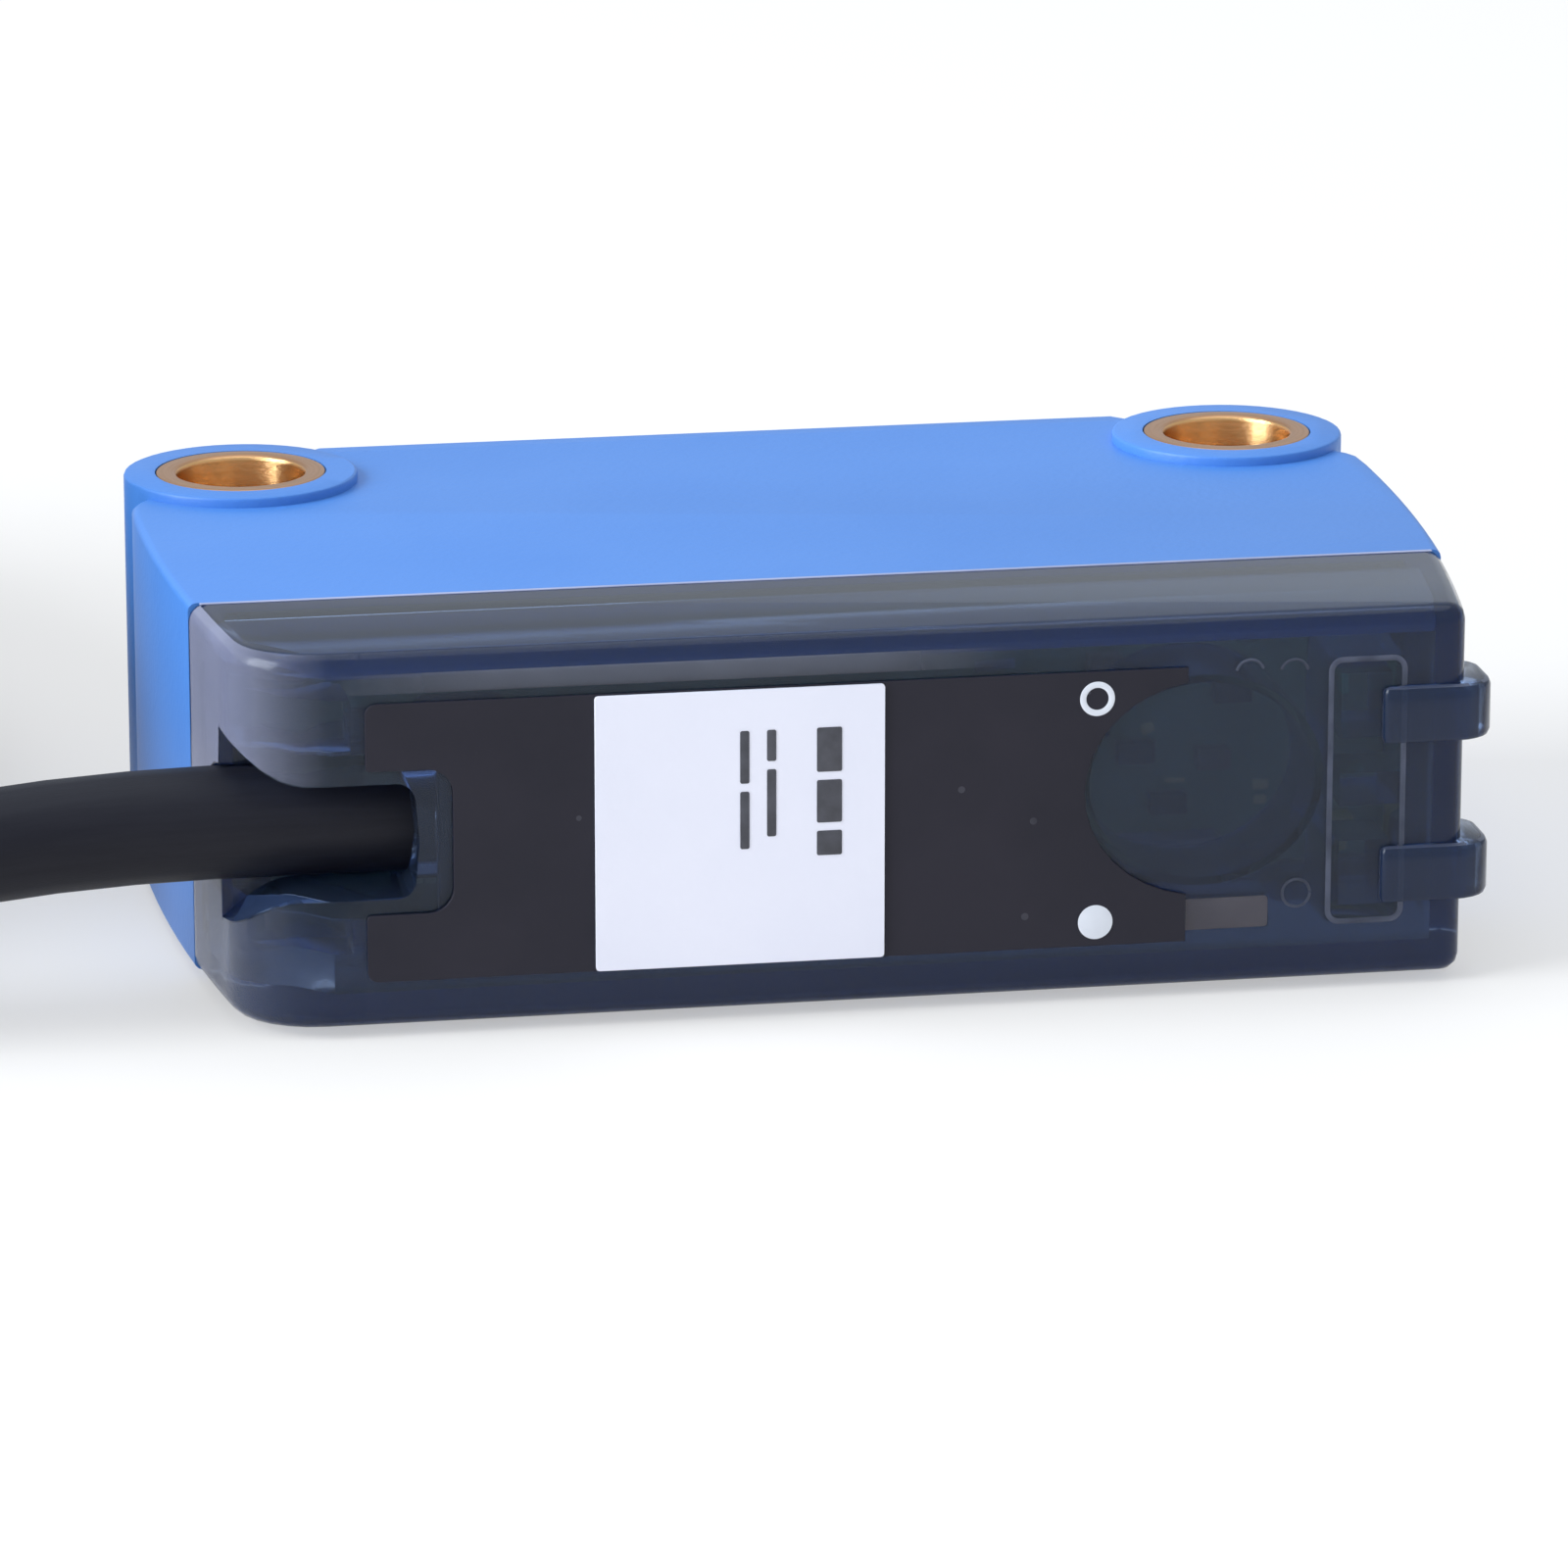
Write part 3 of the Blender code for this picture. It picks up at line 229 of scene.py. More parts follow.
# %% A tube along a line
def tube_rings(line, radius, around):
    """Rings of a round profile: centre + r (cos a * level + sin a * upright), for each point.
    The radius is one number, or one for each point and angle."""
    ahead = np.gradient(line, axis=0)
    ahead /= np.linalg.norm(ahead, axis=1, keepdims=True)
    level = np.cross(ahead, (0, 0, 1.0))
    level /= np.linalg.norm(level, axis=1, keepdims=True)
    upright = np.cross(level, ahead)
    a = np.linspace(0, 2 * pi, around, endpoint=False)[None, :, None]
    radius = np.broadcast_to(radius, (len(line), around))[..., None]
    return line[:, None] + radius * (np.cos(a) * level[:, None] + np.sin(a) * upright[:, None])


def gather(items, field, kind=float, wide=1):
    """One field of many Blender items as one flat array."""
    values = np.zeros(len(items) * wide, kind)
    items.foreach_get(field, values)
    return values


def lay_uv(made, u, v):
    """A UV map with one pair for each corner of each face."""
    layer = made.data.uv_layers.new(name="unrolled")
    layer.data.foreach_set("uv", np.stack([u, v], -1).astype(np.float32).ravel())


def unroll(made, around, length):
    """A UV map from the order of a skin's points: u runs once around, v along in millimetres."""
    polygons = made.data.polygons
    corner = gather(made.data.loops, "vertex_index", int)
    u = (corner % around) / around
    v = (corner // around) * length / (len(made.data.vertices) // around - 1)
    face = np.repeat(np.arange(len(polygons)), gather(polygons, "loop_total", int))
    highest = np.maximum.reduceat(u, gather(polygons, "loop_start", int))
    lay_uv(made, np.where((highest[face] > 0.9) & (u < 0.1), u + 1.0, u), v)


JACKET_AROUND = 18
jacket = skin("cable_jacket", tube_rings(cable_line, CABLE_D / 2, JACKET_AROUND))
unroll(jacket, JACKET_AROUND, cable_length)
settle(jacket, None, ["cable", "cable_coil", "cable_tail"])
print("jacket:", len(jacket.data.polygons), "faces")

# %% The conductors and their tinned ends
WIRE_D, WIRE_OFFSET, WIRE_SPREAD, WIRE_LENGTH, WIRE_REST_Z = 0.9, 0.55, 2.3, 22.0, 12.14
WIRE_START, WIRE_GAP, WIRE_AROUND = radians(-60), 0.2, 14
TIP_D, TIP_LENGTH, TIP_GAP, TIP_TWIST, TIP_AROUND, TIP_CLOSES = 0.5, 5.0, 0.02, 9.0, 28, 0.72


def wire_line(k):
    """A conductor leaves the jacket beside the other two, sinks onto the coil and fans out."""
    share = np.linspace(0, 1, 60)
    turned = 2 * pi * k / 3 - pi / 2
    offset, lift = WIRE_OFFSET * cos(turned), WIRE_OFFSET * sin(turned)
    side = (0, 1, -1)[k] * WIRE_SPREAD
    radius = TAIL_R + offset + (side - offset) * ease(share / 0.6)
    height = TAIL_Z + lift + (WIRE_REST_Z - TAIL_Z - lift) * ease(share / 0.5)
    return around_coil(radius, WIRE_START - (WIRE_GAP + share * WIRE_LENGTH) / TAIL_R, height)


wires = {}
for k, colour in enumerate(("brown", "blue", "black")):
    line = wire_line(k)
    wire = skin("conductor_" + colour, tube_rings(line, WIRE_D / 2, WIRE_AROUND))
    settle(wire, None, ["wire_" + colour])
    # A tinned tip keeps the twist of its strands: seven lobes that turn as they run
    ahead = line[-1] - line[-2]
    ahead /= np.linalg.norm(ahead)
    along = np.linspace(TIP_GAP, TIP_LENGTH, 30)[:, None]
    a = np.linspace(0, 2 * pi, TIP_AROUND, endpoint=False)
    lobes = np.abs(np.cos(3.5 * (a + 2 * pi * along / TIP_TWIST)))
    radius = TIP_D / 2 * (0.94 + 0.06 * lobes)
    radius[-1] *= TIP_CLOSES
    tip_rings = tube_rings(line[-1] + ahead * along, radius, TIP_AROUND)
    tip = skin("tinned_end_" + colour, tip_rings, 60)
    settle(tip, None, ["tip_" + colour])
    wires[colour] = (wire, tip)
print("conductors:", sorted(wires))

# %% [markdown]
# The stage is a plain pale table in a plain pale room. Two soft boxes and the room light the
# switch from above and from the left, as the photograph's highlights say. The room is brighter to
# the camera and through clear plastic than it is as a lamp, so the background is white while the
# light on the switch stays level.

# %% Table, room and lamps
DAYLIGHT = (0.85, 0.92, 1.0)
ROOM_LIGHT, IN_GLOSS, SEEN = 0.53, 0.79, 1.18


def lamp(name, place, size, watts):
    """A square soft box at a place in metres, turned to the switch."""
    made = bpy.data.objects.new(name, bpy.data.lights.new(name, "AREA"))
    made.data.size = size
    made.data.energy = watts
    made.data.color = DAYLIGHT
    made.location = place
    made.rotation_euler = (-Vector(place)).to_track_quat("-Z", "Y").to_euler()
    bpy.context.scene.collection.objects.link(made)


def add(tree, kind, settings=None, **values):
    """A node of a kind, with its settings and the values of its input sockets."""
    node = tree.nodes.new("ShaderNode" + kind)
    for key, value in (settings or {}).items():
        setattr(node, key, value)
    for key, value in values.items():
        node.inputs[key.replace("_", " ")].default_value = value
    return node


def either_ray(tree, first, second):
    """The output that is 1 on rays of the first or the second kind and 0 on all others."""
    rays = add(tree, "LightPath")
    either = add(tree, "Math", {"operation": "MAXIMUM"})
    tree.links.new(rays.outputs[first], either.inputs[0])
    tree.links.new(rays.outputs[second], either.inputs[1])
    return either.outputs[0]


lamp("soft_box_above", (0.02, 0.06, 0.55), size=0.5, watts=1.05)
lamp("soft_box_left", (-0.50, -0.10, 0.26), size=0.40, watts=4.3)

table_mesh = bpy.data.meshes.new("table")
table_mesh.from_pydata([(-4, -4, 0), (4, -4, 0), (4, 4, 0), (-4, 4, 0)], [], [(0, 1, 2, 3)])
table = bpy.data.objects.new("table", table_mesh)
bpy.context.scene.collection.objects.link(table)

world = bpy.data.worlds.new("white_room")
world.use_nodes = True
bpy.context.scene.world = world
tree = world.node_tree
background = tree.nodes["Background"]
background.inputs["Color"].default_value = (*DAYLIGHT, 1.0)
in_gloss = add(tree, "MapRange", To_Min=ROOM_LIGHT, To_Max=IN_GLOSS)
strength = add(tree, "MapRange", To_Max=SEEN)
seen = either_ray(tree, "Is Camera Ray", "Is Transmission Ray")
tree.links.new(add(tree, "LightPath").outputs["Is Glossy Ray"], in_gloss.inputs["Value"])
tree.links.new(in_gloss.outputs["Result"], strength.inputs["To Min"])
tree.links.new(seen, strength.inputs["Value"])
tree.links.new(strength.outputs["Result"], background.inputs["Strength"])
bpy.context.scene.view_settings.view_transform = "Standard"
print("lamps: 2, room at", ROOM_LIGHT)

# %% [markdown]
# Nothing here has one flat colour. Moulded plastic carries a faint flow pattern and a fine grain,
# and dust settles on dark faces. Both effects are shader groups, made once and then set for each
# material.

# %% Shader groups
def new_group(name, ins, outs):
    """An empty shader group with named inputs (name, kind, value) and outputs (name, kind)."""
    made = bpy.data.node_groups.new(name, "ShaderNodeTree")
    for label, kind, value in ins:
        socket = made.interface.new_socket(label, in_out="INPUT", socket_type="NodeSocket" + kind)
        if value is not None:
            socket.default_value = value
    for label, kind in outs:
        made.interface.new_socket(label, in_out="OUTPUT", socket_type="NodeSocket" + kind)
    return made, made.nodes.new("NodeGroupInput"), made.nodes.new("NodeGroupOutput")


moulding, ins, outs = new_group(
    "moulded_surface",
    [("Vector", "Vector", None), ("Colour", "Color", (0.5, 0.5, 0.5, 1)),
     ("Second Colour", "Color", (0.4, 0.4, 0.4, 1)), ("Flow Scale", "Float", 150.0),
     ("Roughness", "Float", 0.5), ("Spread", "Float", 0.1), ("Grain Scale", "Float", 4000.0),
     ("Grain Depth", "Float", 0.02)],
    [("Colour", "Color"), ("Roughness", "Float"), ("Normal", "Vector")],
)
link = moulding.links.new
flow = add(moulding, "TexNoise", Detail=3.0, Roughness=0.55)
link(ins.outputs["Vector"], flow.inputs["Vector"])
link(ins.outputs["Flow Scale"], flow.inputs["Scale"])
tint = add(moulding, "Mix", {"data_type": "RGBA"})
spread_flow = add(moulding, "MapRange", From_Min=0.35, From_Max=0.65)
link(flow.outputs["Fac"], spread_flow.inputs["Value"])
link(spread_flow.outputs["Result"], tint.inputs[0])
link(ins.outputs["Colour"], tint.inputs[6])
link(ins.outputs["Second Colour"], tint.inputs[7])
link(tint.outputs[2], outs.inputs["Colour"])
grain = add(moulding, "TexNoise", Detail=2.0)
link(ins.outputs["Vector"], grain.inputs["Vector"])
link(ins.outputs["Grain Scale"], grain.inputs["Scale"])
centred = add(moulding, "Math", {"operation": "SUBTRACT"})
centred.inputs[1].default_value = 0.5
link(flow.outputs["Fac"], centred.inputs[0])
rougher = add(moulding, "Math", {"operation": "MULTIPLY_ADD"})
link(centred.outputs[0], rougher.inputs[0])
link(ins.outputs["Spread"], rougher.inputs[1])
link(ins.outputs["Roughness"], rougher.inputs[2])
link(rougher.outputs[0], outs.inputs["Roughness"])
bump = add(moulding, "Bump", Distance=0.00005)
link(ins.outputs["Grain Depth"], bump.inputs["Strength"])
link(grain.outputs["Fac"], bump.inputs["Height"])
link(bump.outputs["Normal"], outs.inputs["Normal"])

dust, ins, outs = new_group(
    "dust_specks",
    [("Vector", "Vector", None), ("Colour", "Color", (0.1, 0.1, 0.1, 1)),
     ("Dust Colour", "Color", (0.5, 0.5, 0.5, 1)), ("Scale", "Float", 900.0),
     ("Size", "Float", 0.08), ("Amount", "Float", 0.4)],
    [("Colour", "Color")],
)
link = dust.links.new
cells = add(dust, "TexVoronoi")
link(ins.outputs["Vector"], cells.inputs["Vector"])
link(ins.outputs["Scale"], cells.inputs["Scale"])
near = add(dust, "Math", {"operation": "LESS_THAN"})
link(cells.outputs["Distance"], near.inputs[0])
link(ins.outputs["Size"], near.inputs[1])
patchy = add(dust, "TexNoise", Scale=220.0, Detail=2.0)
link(ins.outputs["Vector"], patchy.inputs["Vector"])
some = add(dust, "MapRange", From_Min=0.5, From_Max=0.62)
link(patchy.outputs["Fac"], some.inputs["Value"])
both = add(dust, "Math", {"operation": "MULTIPLY"})
link(near.outputs[0], both.inputs[0])
link(some.outputs["Result"], both.inputs[1])
amount = add(dust, "Math", {"operation": "MULTIPLY"})
link(both.outputs[0], amount.inputs[0])
link(ins.outputs["Amount"], amount.inputs[1])
laid = add(dust, "Mix", {"data_type": "RGBA"})
link(amount.outputs[0], laid.inputs[0])
link(ins.outputs["Colour"], laid.inputs[6])
link(ins.outputs["Dust Colour"], laid.inputs[7])
link(laid.outputs[2], outs.inputs["Colour"])
print("shader groups:", [g.name for g in bpy.data.node_groups])


# %% A material from the groups
def moulded(name, colour, second, flow_scale, roughness, spread, grain_scale, grain_depth,
            dusty=0.0, dust_colour=(0.45, 0.45, 0.5), coordinates="Object",
            stretch=(1.0, 1.0, 1.0), **sockets):
    """A Principled material whose colour, roughness and normal come from the groups, with every
    other value set on the shader itself. Stretch scales the pattern along each axis."""
    made = bpy.data.materials.new(name)
    made.use_nodes = True
    tree = made.node_tree
    shader = tree.nodes["Principled BSDF"]
    for key, value in sockets.items():
        shader.inputs[key.replace("_", " ")].default_value = value
    where = add(tree, "TexCoord")
    stretched = add(tree, "Mapping", Scale=stretch)
    tree.links.new(where.outputs[coordinates], stretched.inputs["Vector"])
    surface = add(
        tree, "Group", {"node_tree": moulding}, Colour=(*colour, 1), Second_Colour=(*second, 1),
        Flow_Scale=flow_scale, Roughness=roughness, Spread=spread, Grain_Scale=grain_scale,
        Grain_Depth=grain_depth,
    )
    tree.links.new(stretched.outputs["Vector"], surface.inputs["Vector"])
    last = surface.outputs["Colour"]
    if dusty:
        specks = add(tree, "Group", {"node_tree": dust}, Amount=dusty,
                     Dust_Colour=(*dust_colour, 1))
        tree.links.new(where.outputs["Object"], specks.inputs["Vector"])
        tree.links.new(last, specks.inputs["Colour"])
        last = specks.outputs["Colour"]
    tree.links.new(last, shader.inputs["Base Color"])
    tree.links.new(surface.outputs["Roughness"], shader.inputs["Roughness"])
    tree.links.new(surface.outputs["Normal"], shader.inputs["Normal"])
    return made


def painted_light_veil(name, colour, second, thickest, fade_from, fade_to):
    """Painted light on a veil: alpha falls from its thickest value to nothing along U."""
    made = moulded(name, colour, second, 90.0, 0.24, 0.08, 2500.0, 0.0)
    tree = made.node_tree
    where = add(tree, "TexCoord")
    split = add(tree, "SeparateXYZ")
    fall = add(tree, "MapRange", {"interpolation_type": "SMOOTHSTEP"},
               From_Min=fade_from, From_Max=fade_to, To_Min=thickest, To_Max=0.0)
    cloud = add(tree, "TexNoise", Scale=330.0)
    thinner = add(tree, "MapRange", From_Min=0.3, From_Max=0.7, To_Min=0.75, To_Max=1.0)
    alpha = add(tree, "Math", {"operation": "MULTIPLY"})
    tree.links.new(where.outputs["UV"], split.inputs[0])
    tree.links.new(split.outputs["X"], fall.inputs["Value"])
    tree.links.new(where.outputs["Object"], cloud.inputs["Vector"])
    tree.links.new(cloud.outputs["Fac"], thinner.inputs["Value"])
    tree.links.new(fall.outputs["Result"], alpha.inputs[0])
    tree.links.new(thinner.outputs["Result"], alpha.inputs[1])
    tree.links.new(alpha.outputs[0], tree.nodes["Principled BSDF"].inputs["Alpha"])
    return made


# %% [markdown]
# The housing is a fine matt blue. The cover is smoked clear plastic, which lets light through and
# bends it, so the ribs inside show bright rims; here those rims are painted highlights. Its lugs
# are denser, with a painted highlight on their tops, and its cable end and upper edge carry painted
# light on fading veils. Colours are linear values read off the photograph. The five numbers after a
# pair of colours are the flow scale, the roughness and its spread, and the scale and depth of the
# grain. A veil finish has its thickest alpha there, and where the fade starts and ends along U.

# %% Finishes of the body
finishes = {}


def finish(name, *values, **more):
    """Makes a finish and files it under its name."""
    finishes[name] = moulded(name, *values, **more)


finish("blue_plastic", (0.070, 0.240, 0.66), (0.064, 0.228, 0.64), 120, 0.46, 0.08, 5200, 0.22)
finish("smoked_plastic", (0.185, 0.262, 0.432), (0.172, 0.248, 0.414), 60, 0.10, 0.04, 2500, 0.0,
       Transmission_Weight=0.95, IOR=1.33)
finish("smoked_thick", (0.019, 0.036, 0.088), (0.017, 0.033, 0.081), 60, 0.17, 0.04, 2500, 0.0,
       Transmission_Weight=0.5, IOR=1.38)
# A paler copy of the lugs' finish for their up-facing faces: a painted highlight
finish("smoked_painted_highlight", (0.085, 0.098, 0.155), (0.075, 0.088, 0.14), 60, 0.3, 0.04, 2500, 0.0,
       Transmission_Weight=0.3, IOR=1.4)
for name, *values in (
    # The cable end's skins carry a painted sheen, paler on the upper skin than on the lower one
    ("end_painted_sheen", (0.34, 0.355, 0.49), (0.28, 0.295, 0.42), 0.62, 0.34, 0.86),
    ("end_foot_painted_sheen", (0.22, 0.25, 0.37), (0.18, 0.21, 0.31), 0.26, 0.30, 0.80),
    # A painted highlight along the upper edge of the rear wall
    ("edge_painted_highlight", (0.80, 0.58, 0.42), (0.62, 0.45, 0.33), 0.8, 0.45, 1.0),
):
    finishes[name] = painted_light_veil(name, *values)
# A painted highlight for the rim of the light frame
finish("frame_painted_highlight", (0.62, 0.47, 0.40), (0.24, 0.18, 0.16), 620, 0.4, 0.1, 2500, 0.0)
finish("milky_faint", (0.36, 0.28, 0.24), (0.20, 0.15, 0.13), 900, 0.4, 0.1, 2500, 0.0)
finish("milky_rest", (0.56, 0.32, 0.20), (0.46, 0.26, 0.16), 500, 0.4, 0.1, 2500, 0.0)
# A painted highlight for the seam along the cover's top
finish("seam_painted_highlight", (0.40, 0.43, 0.62), (0.30, 0.33, 0.50), 300, 0.3, 0.1, 2500, 0.0)
finish("window_plastic", (0.20, 0.02, 0.03), (0.22, 0.025, 0.035), 60, 0.06, 0.03, 2500, 0.0,
       Transmission_Weight=0.9, IOR=1.49)
finish("clear_plastic", (0.86, 0.88, 0.90), (0.84, 0.86, 0.89), 90, 0.04, 0.02, 2500, 0.0,
       Transmission_Weight=1.0, IOR=1.49)
finish("label_black", (0.017, 0.016, 0.025), (0.022, 0.020, 0.030), 260, 0.48, 0.1, 6000, 0.06,
       dusty=0.35, dust_colour=(0.16, 0.16, 0.19), Specular_IOR_Level=0.22)
finish("sticker_white", (0.85, 0.84, 0.93), (0.82, 0.815, 0.91), 190, 0.5, 0.1, 5000, 0.08)
finish("print_white", (0.78, 0.80, 0.86), (0.72, 0.74, 0.80), 900, 0.5, 0.1, 6000, 0.05)
finish("print_dark", (0.045, 0.045, 0.055), (0.07, 0.07, 0.085), 1600, 0.55, 0.1, 6000, 0.05)
print("body finishes:", sorted(finishes))

# %% Finishes of the metal parts
TURNED = dict(coordinates="UV", stretch=(2.0, 9.0, 1.0), Metallic=1.0)
METAL = dict(Metallic=1.0)
finish("brass", (0.52, 0.28, 0.14), (0.44, 0.235, 0.115), 1.0, 0.34, 0.16, 14.0, 0.12, **TURNED)
finish("brass_bore", (0.76, 0.45, 0.20), (0.64, 0.37, 0.155), 1.0, 0.22, 0.12, 14.0, 0.2, **TURNED)
finish("gold_plate", (0.75, 0.52, 0.2), (0.7, 0.48, 0.18), 300, 0.3, 0.1, 3000, 0.05, **METAL)
finish("tinned_copper", (0.7, 0.7, 0.7), (0.62, 0.62, 0.62), 900, 0.35, 0.15, 3000, 0.1, **METAL)

# %% Finishes of the board and of what it carries
finish("board_green", (0.27, 0.33, 0.15), (0.24, 0.30, 0.135), 500, 0.4, 0.1, 3000, 0.0)
finish("black_plastic", (0.018, 0.018, 0.02), (0.022, 0.022, 0.025), 150, 0.5, 0.1, 4000, 0.15)
finish("chip_black", (0.02, 0.02, 0.022), (0.026, 0.026, 0.028), 500, 0.5, 0.1, 5000, 0.1)
finish("ceramic_tan", (0.36, 0.22, 0.11), (0.32, 0.19, 0.1), 900, 0.4, 0.1, 5000, 0.1)
finish("ceramic_grey", (0.2, 0.18, 0.2), (0.17, 0.16, 0.18), 500, 0.5, 0.1, 5000, 0.1)
finish("emitter_resin", (0.8, 0.8, 0.84), (0.76, 0.76, 0.8), 90, 0.1, 0.03, 2500, 0.01,
       Transmission_Weight=0.8)
finish("diode_resin", (0.03, 0.012, 0.02), (0.035, 0.015, 0.022), 90, 0.15, 0.03, 2500, 0.01)
finish("led_green_resin", (0.25, 0.7, 0.3), (0.22, 0.65, 0.28), 90, 0.2, 0.05, 2500, 0.02)
finish("led_yellow_resin", (0.8, 0.58, 0.1), (0.76, 0.54, 0.09), 90, 0.2, 0.05, 2500, 0.02)

# %% Finishes of the cable
ALONG = dict(coordinates="UV", stretch=(6.0, 0.05, 1.0))
WIRE_COLOURS = {
    "brown": (0.13, 0.05, 0.022), "blue": (0.03, 0.12, 0.5), "black": (0.016, 0.016, 0.017),
}
finish("cable_jacket", (0.0095, 0.0095, 0.015), (0.013, 0.013, 0.019), 4.0, 0.5, 0.12, 60.0, 0.12,
       Specular_IOR_Level=0.18, **ALONG)
finish("tie_nylon", (0.02, 0.02, 0.021), (0.026, 0.026, 0.028), 200, 0.4, 0.1, 3000, 0.1)
finish("grommet_rubber", (0.015, 0.015, 0.016), (0.02, 0.02, 0.021), 200, 0.7, 0.1, 3500, 0.2)
jacket.data.materials.append(finishes["cable_jacket"])
for colour, first in WIRE_COLOURS.items():
    second = tuple(0.9 * v + 0.002 for v in first)
    finish(f"wire_{colour}_pvc", first, second, 200, 0.42, 0.1, 2500, 0.05)
    wire, tip = wires[colour]
    wire.data.materials.append(finishes[f"wire_{colour}_pvc"])
    tip.data.materials.append(finishes["tinned_copper"])
print("finishes:", len(finishes))

# %% The table's paper
PAPER_GLOW = 0.45
table_paper = moulded(
    "table_paper", (0.97, 0.92, 0.87), (0.965, 0.915, 0.865), 6, 0.8, 0.05, 900, 0.02,
)
tree = table_paper.node_tree
glow = add(tree, "Emission", Color=(1.0, 1.0, 1.0, 1.0), Strength=1.0)
share = add(tree, "Math", {"operation": "MULTIPLY"})
share.inputs[1].default_value = PAPER_GLOW
blend = add(tree, "MixShader")
tree.links.new(either_ray(tree, "Is Camera Ray", "Is Glossy Ray"), share.inputs[0])
tree.links.new(share.outputs[0], blend.inputs[0])
tree.links.new(tree.nodes["Principled BSDF"].outputs[0], blend.inputs[1])
tree.links.new(glow.outputs[0], blend.inputs[2])
tree.links.new(blend.outputs[0], tree.nodes["Material Output"].inputs["Surface"])
table.data.materials.append(table_paper)
print("table paper is", PAPER_GLOW, "white by itself")

# %% [markdown]
# Pieces whose CAD shape is already the real one are kept. A merged copy of the node shades
# smoothly where the real surface is round and stays crisp at its edges, and a fine bevel lets
# those edges catch the light. On the smoked cover the bevels matter most, because a clear edge
# shows as a bright line.

# %% Dress a CAD node
def dress(node, finish_name, edge=0.0, sharp=35.0):
    """A merged copy of a CAD node, shaded by angle, with a fine bevel on its hard edges."""
    mesh = nodes[node].data.copy()
    work = bmesh.new()
    work.from_mesh(mesh)
    bmesh.ops.remove_doubles(work, verts=work.verts, dist=0.0000008)
    bmesh.ops.dissolve_limit(work, angle_limit=radians(0.3), verts=work.verts, edges=work.edges)
    work.to_mesh(mesh)
    work.free()
    mesh.name = node + "_dressed"
    mesh.materials.clear()
    mesh.shade_smooth()
    mesh.set_sharp_from_angle(angle=radians(sharp))
    made = bpy.data.objects.new(mesh.name, mesh)
    bpy.context.scene.collection.objects.link(made)
    if edge:
        bevel = made.modifiers.new("edge", "BEVEL")
        bevel.width = edge * MM
        bevel.segments = 2
        bevel.limit_method = "ANGLE"
        bevel.angle_limit = radians(sharp)
        bevel.harden_normals = True
    return settle(made, finishes[finish_name], [node])


housing = dress("housing", "blue_plastic", 0.05)
cover = dress("rear_cover", "smoked_plastic", 0.06)

# The faces of the two lugs are denser, and where they face up they carry a painted highlight
LUG_X, LUG_Y, HIGHLIGHT_FACING_UP = 15.05, -10.45, 0.8
cover.data.materials.append(finishes["smoked_thick"])
cover.data.materials.append(finishes["smoked_painted_highlight"])
place = gather(cover.data.polygons, "center", wide=3)
facing = gather(cover.data.polygons, "normal", wide=3)
in_a_lug = (place[0::3] > LUG_X * MM) | (place[1::3] < LUG_Y * MM)
chosen = in_a_lug * np.where(facing[2::3] > HIGHLIGHT_FACING_UP, 2, 1)
cover.data.polygons.foreach_set("material_index", chosen.astype(np.int32))
for node, finish_name, edge in (
    ("front_window", "window_plastic", 0.04), ("lens_emitter", "clear_plastic", 0.0),
    ("lens_receiver", "clear_plastic", 0.0), ("emitter_led", "emitter_resin", 0.0),
    ("main_board", "board_green", 0.03), ("optics_board", "board_green", 0.03),
    ("label_plate", "label_black", 0.02), ("sticker", "sticker_white", 0.015),
    ("optics_carrier", "black_plastic", 0.05), ("cable_grommet", "grommet_rubber", 0.05),
):
    dress(node, finish_name, edge)
print("housing faces:", len(housing.data.polygons), "cover faces:", len(cover.data.polygons))

# %% [markdown]
# The bushings are turned brass. A lathe profile is a closed line of (radius, height) points, with
# small rounds where the ring meets its edges, and it is carried once round the axis. Its UV map
# runs round and along the profile, so that the turning marks follow the tool.

# %% A turned piece
def lathe(name, axis_xy, profile, steps=96, sharp=30.0):
    """Each profile point (r, z) goes round its axis: (x0 + r cos a, y0 + r sin a, z). In the UV
    map u runs from 1 to 0 and back in one round, so it has no seam."""
    profile = np.asarray(profile, float)
    a = np.linspace(0, 2 * pi, steps, endpoint=False)[:, None]
    r, z = profile[None, :, 0], profile[None, :, 1]
    grid = np.stack([axis_xy[0] + r * np.cos(a), axis_xy[1] + r * np.sin(a), z + 0 * a], -1)
    faces = grid_faces(steps, len(profile), close_rows=True)
    made = mesh_object(name, grid, faces.tolist(), sharp)
    corner = gather(made.data.loops, "vertex_index", int)
    along = np.concatenate([[0], np.cumsum(np.linalg.norm(np.diff(profile, axis=0), axis=1))])
    u = (corner // len(profile)) / steps
    lay_uv(made, np.abs(2 * u - 1), along[corner % len(profile)])
    return made


def round_corner(centre, radius, start, stop, count=5):
    """Points of a small arc from one angle to another, in degrees."""
    a = np.radians(np.linspace(start, stop, count))
    return [(centre[0] + radius * cos(t), centre[1] + radius * sin(t)) for t in a]


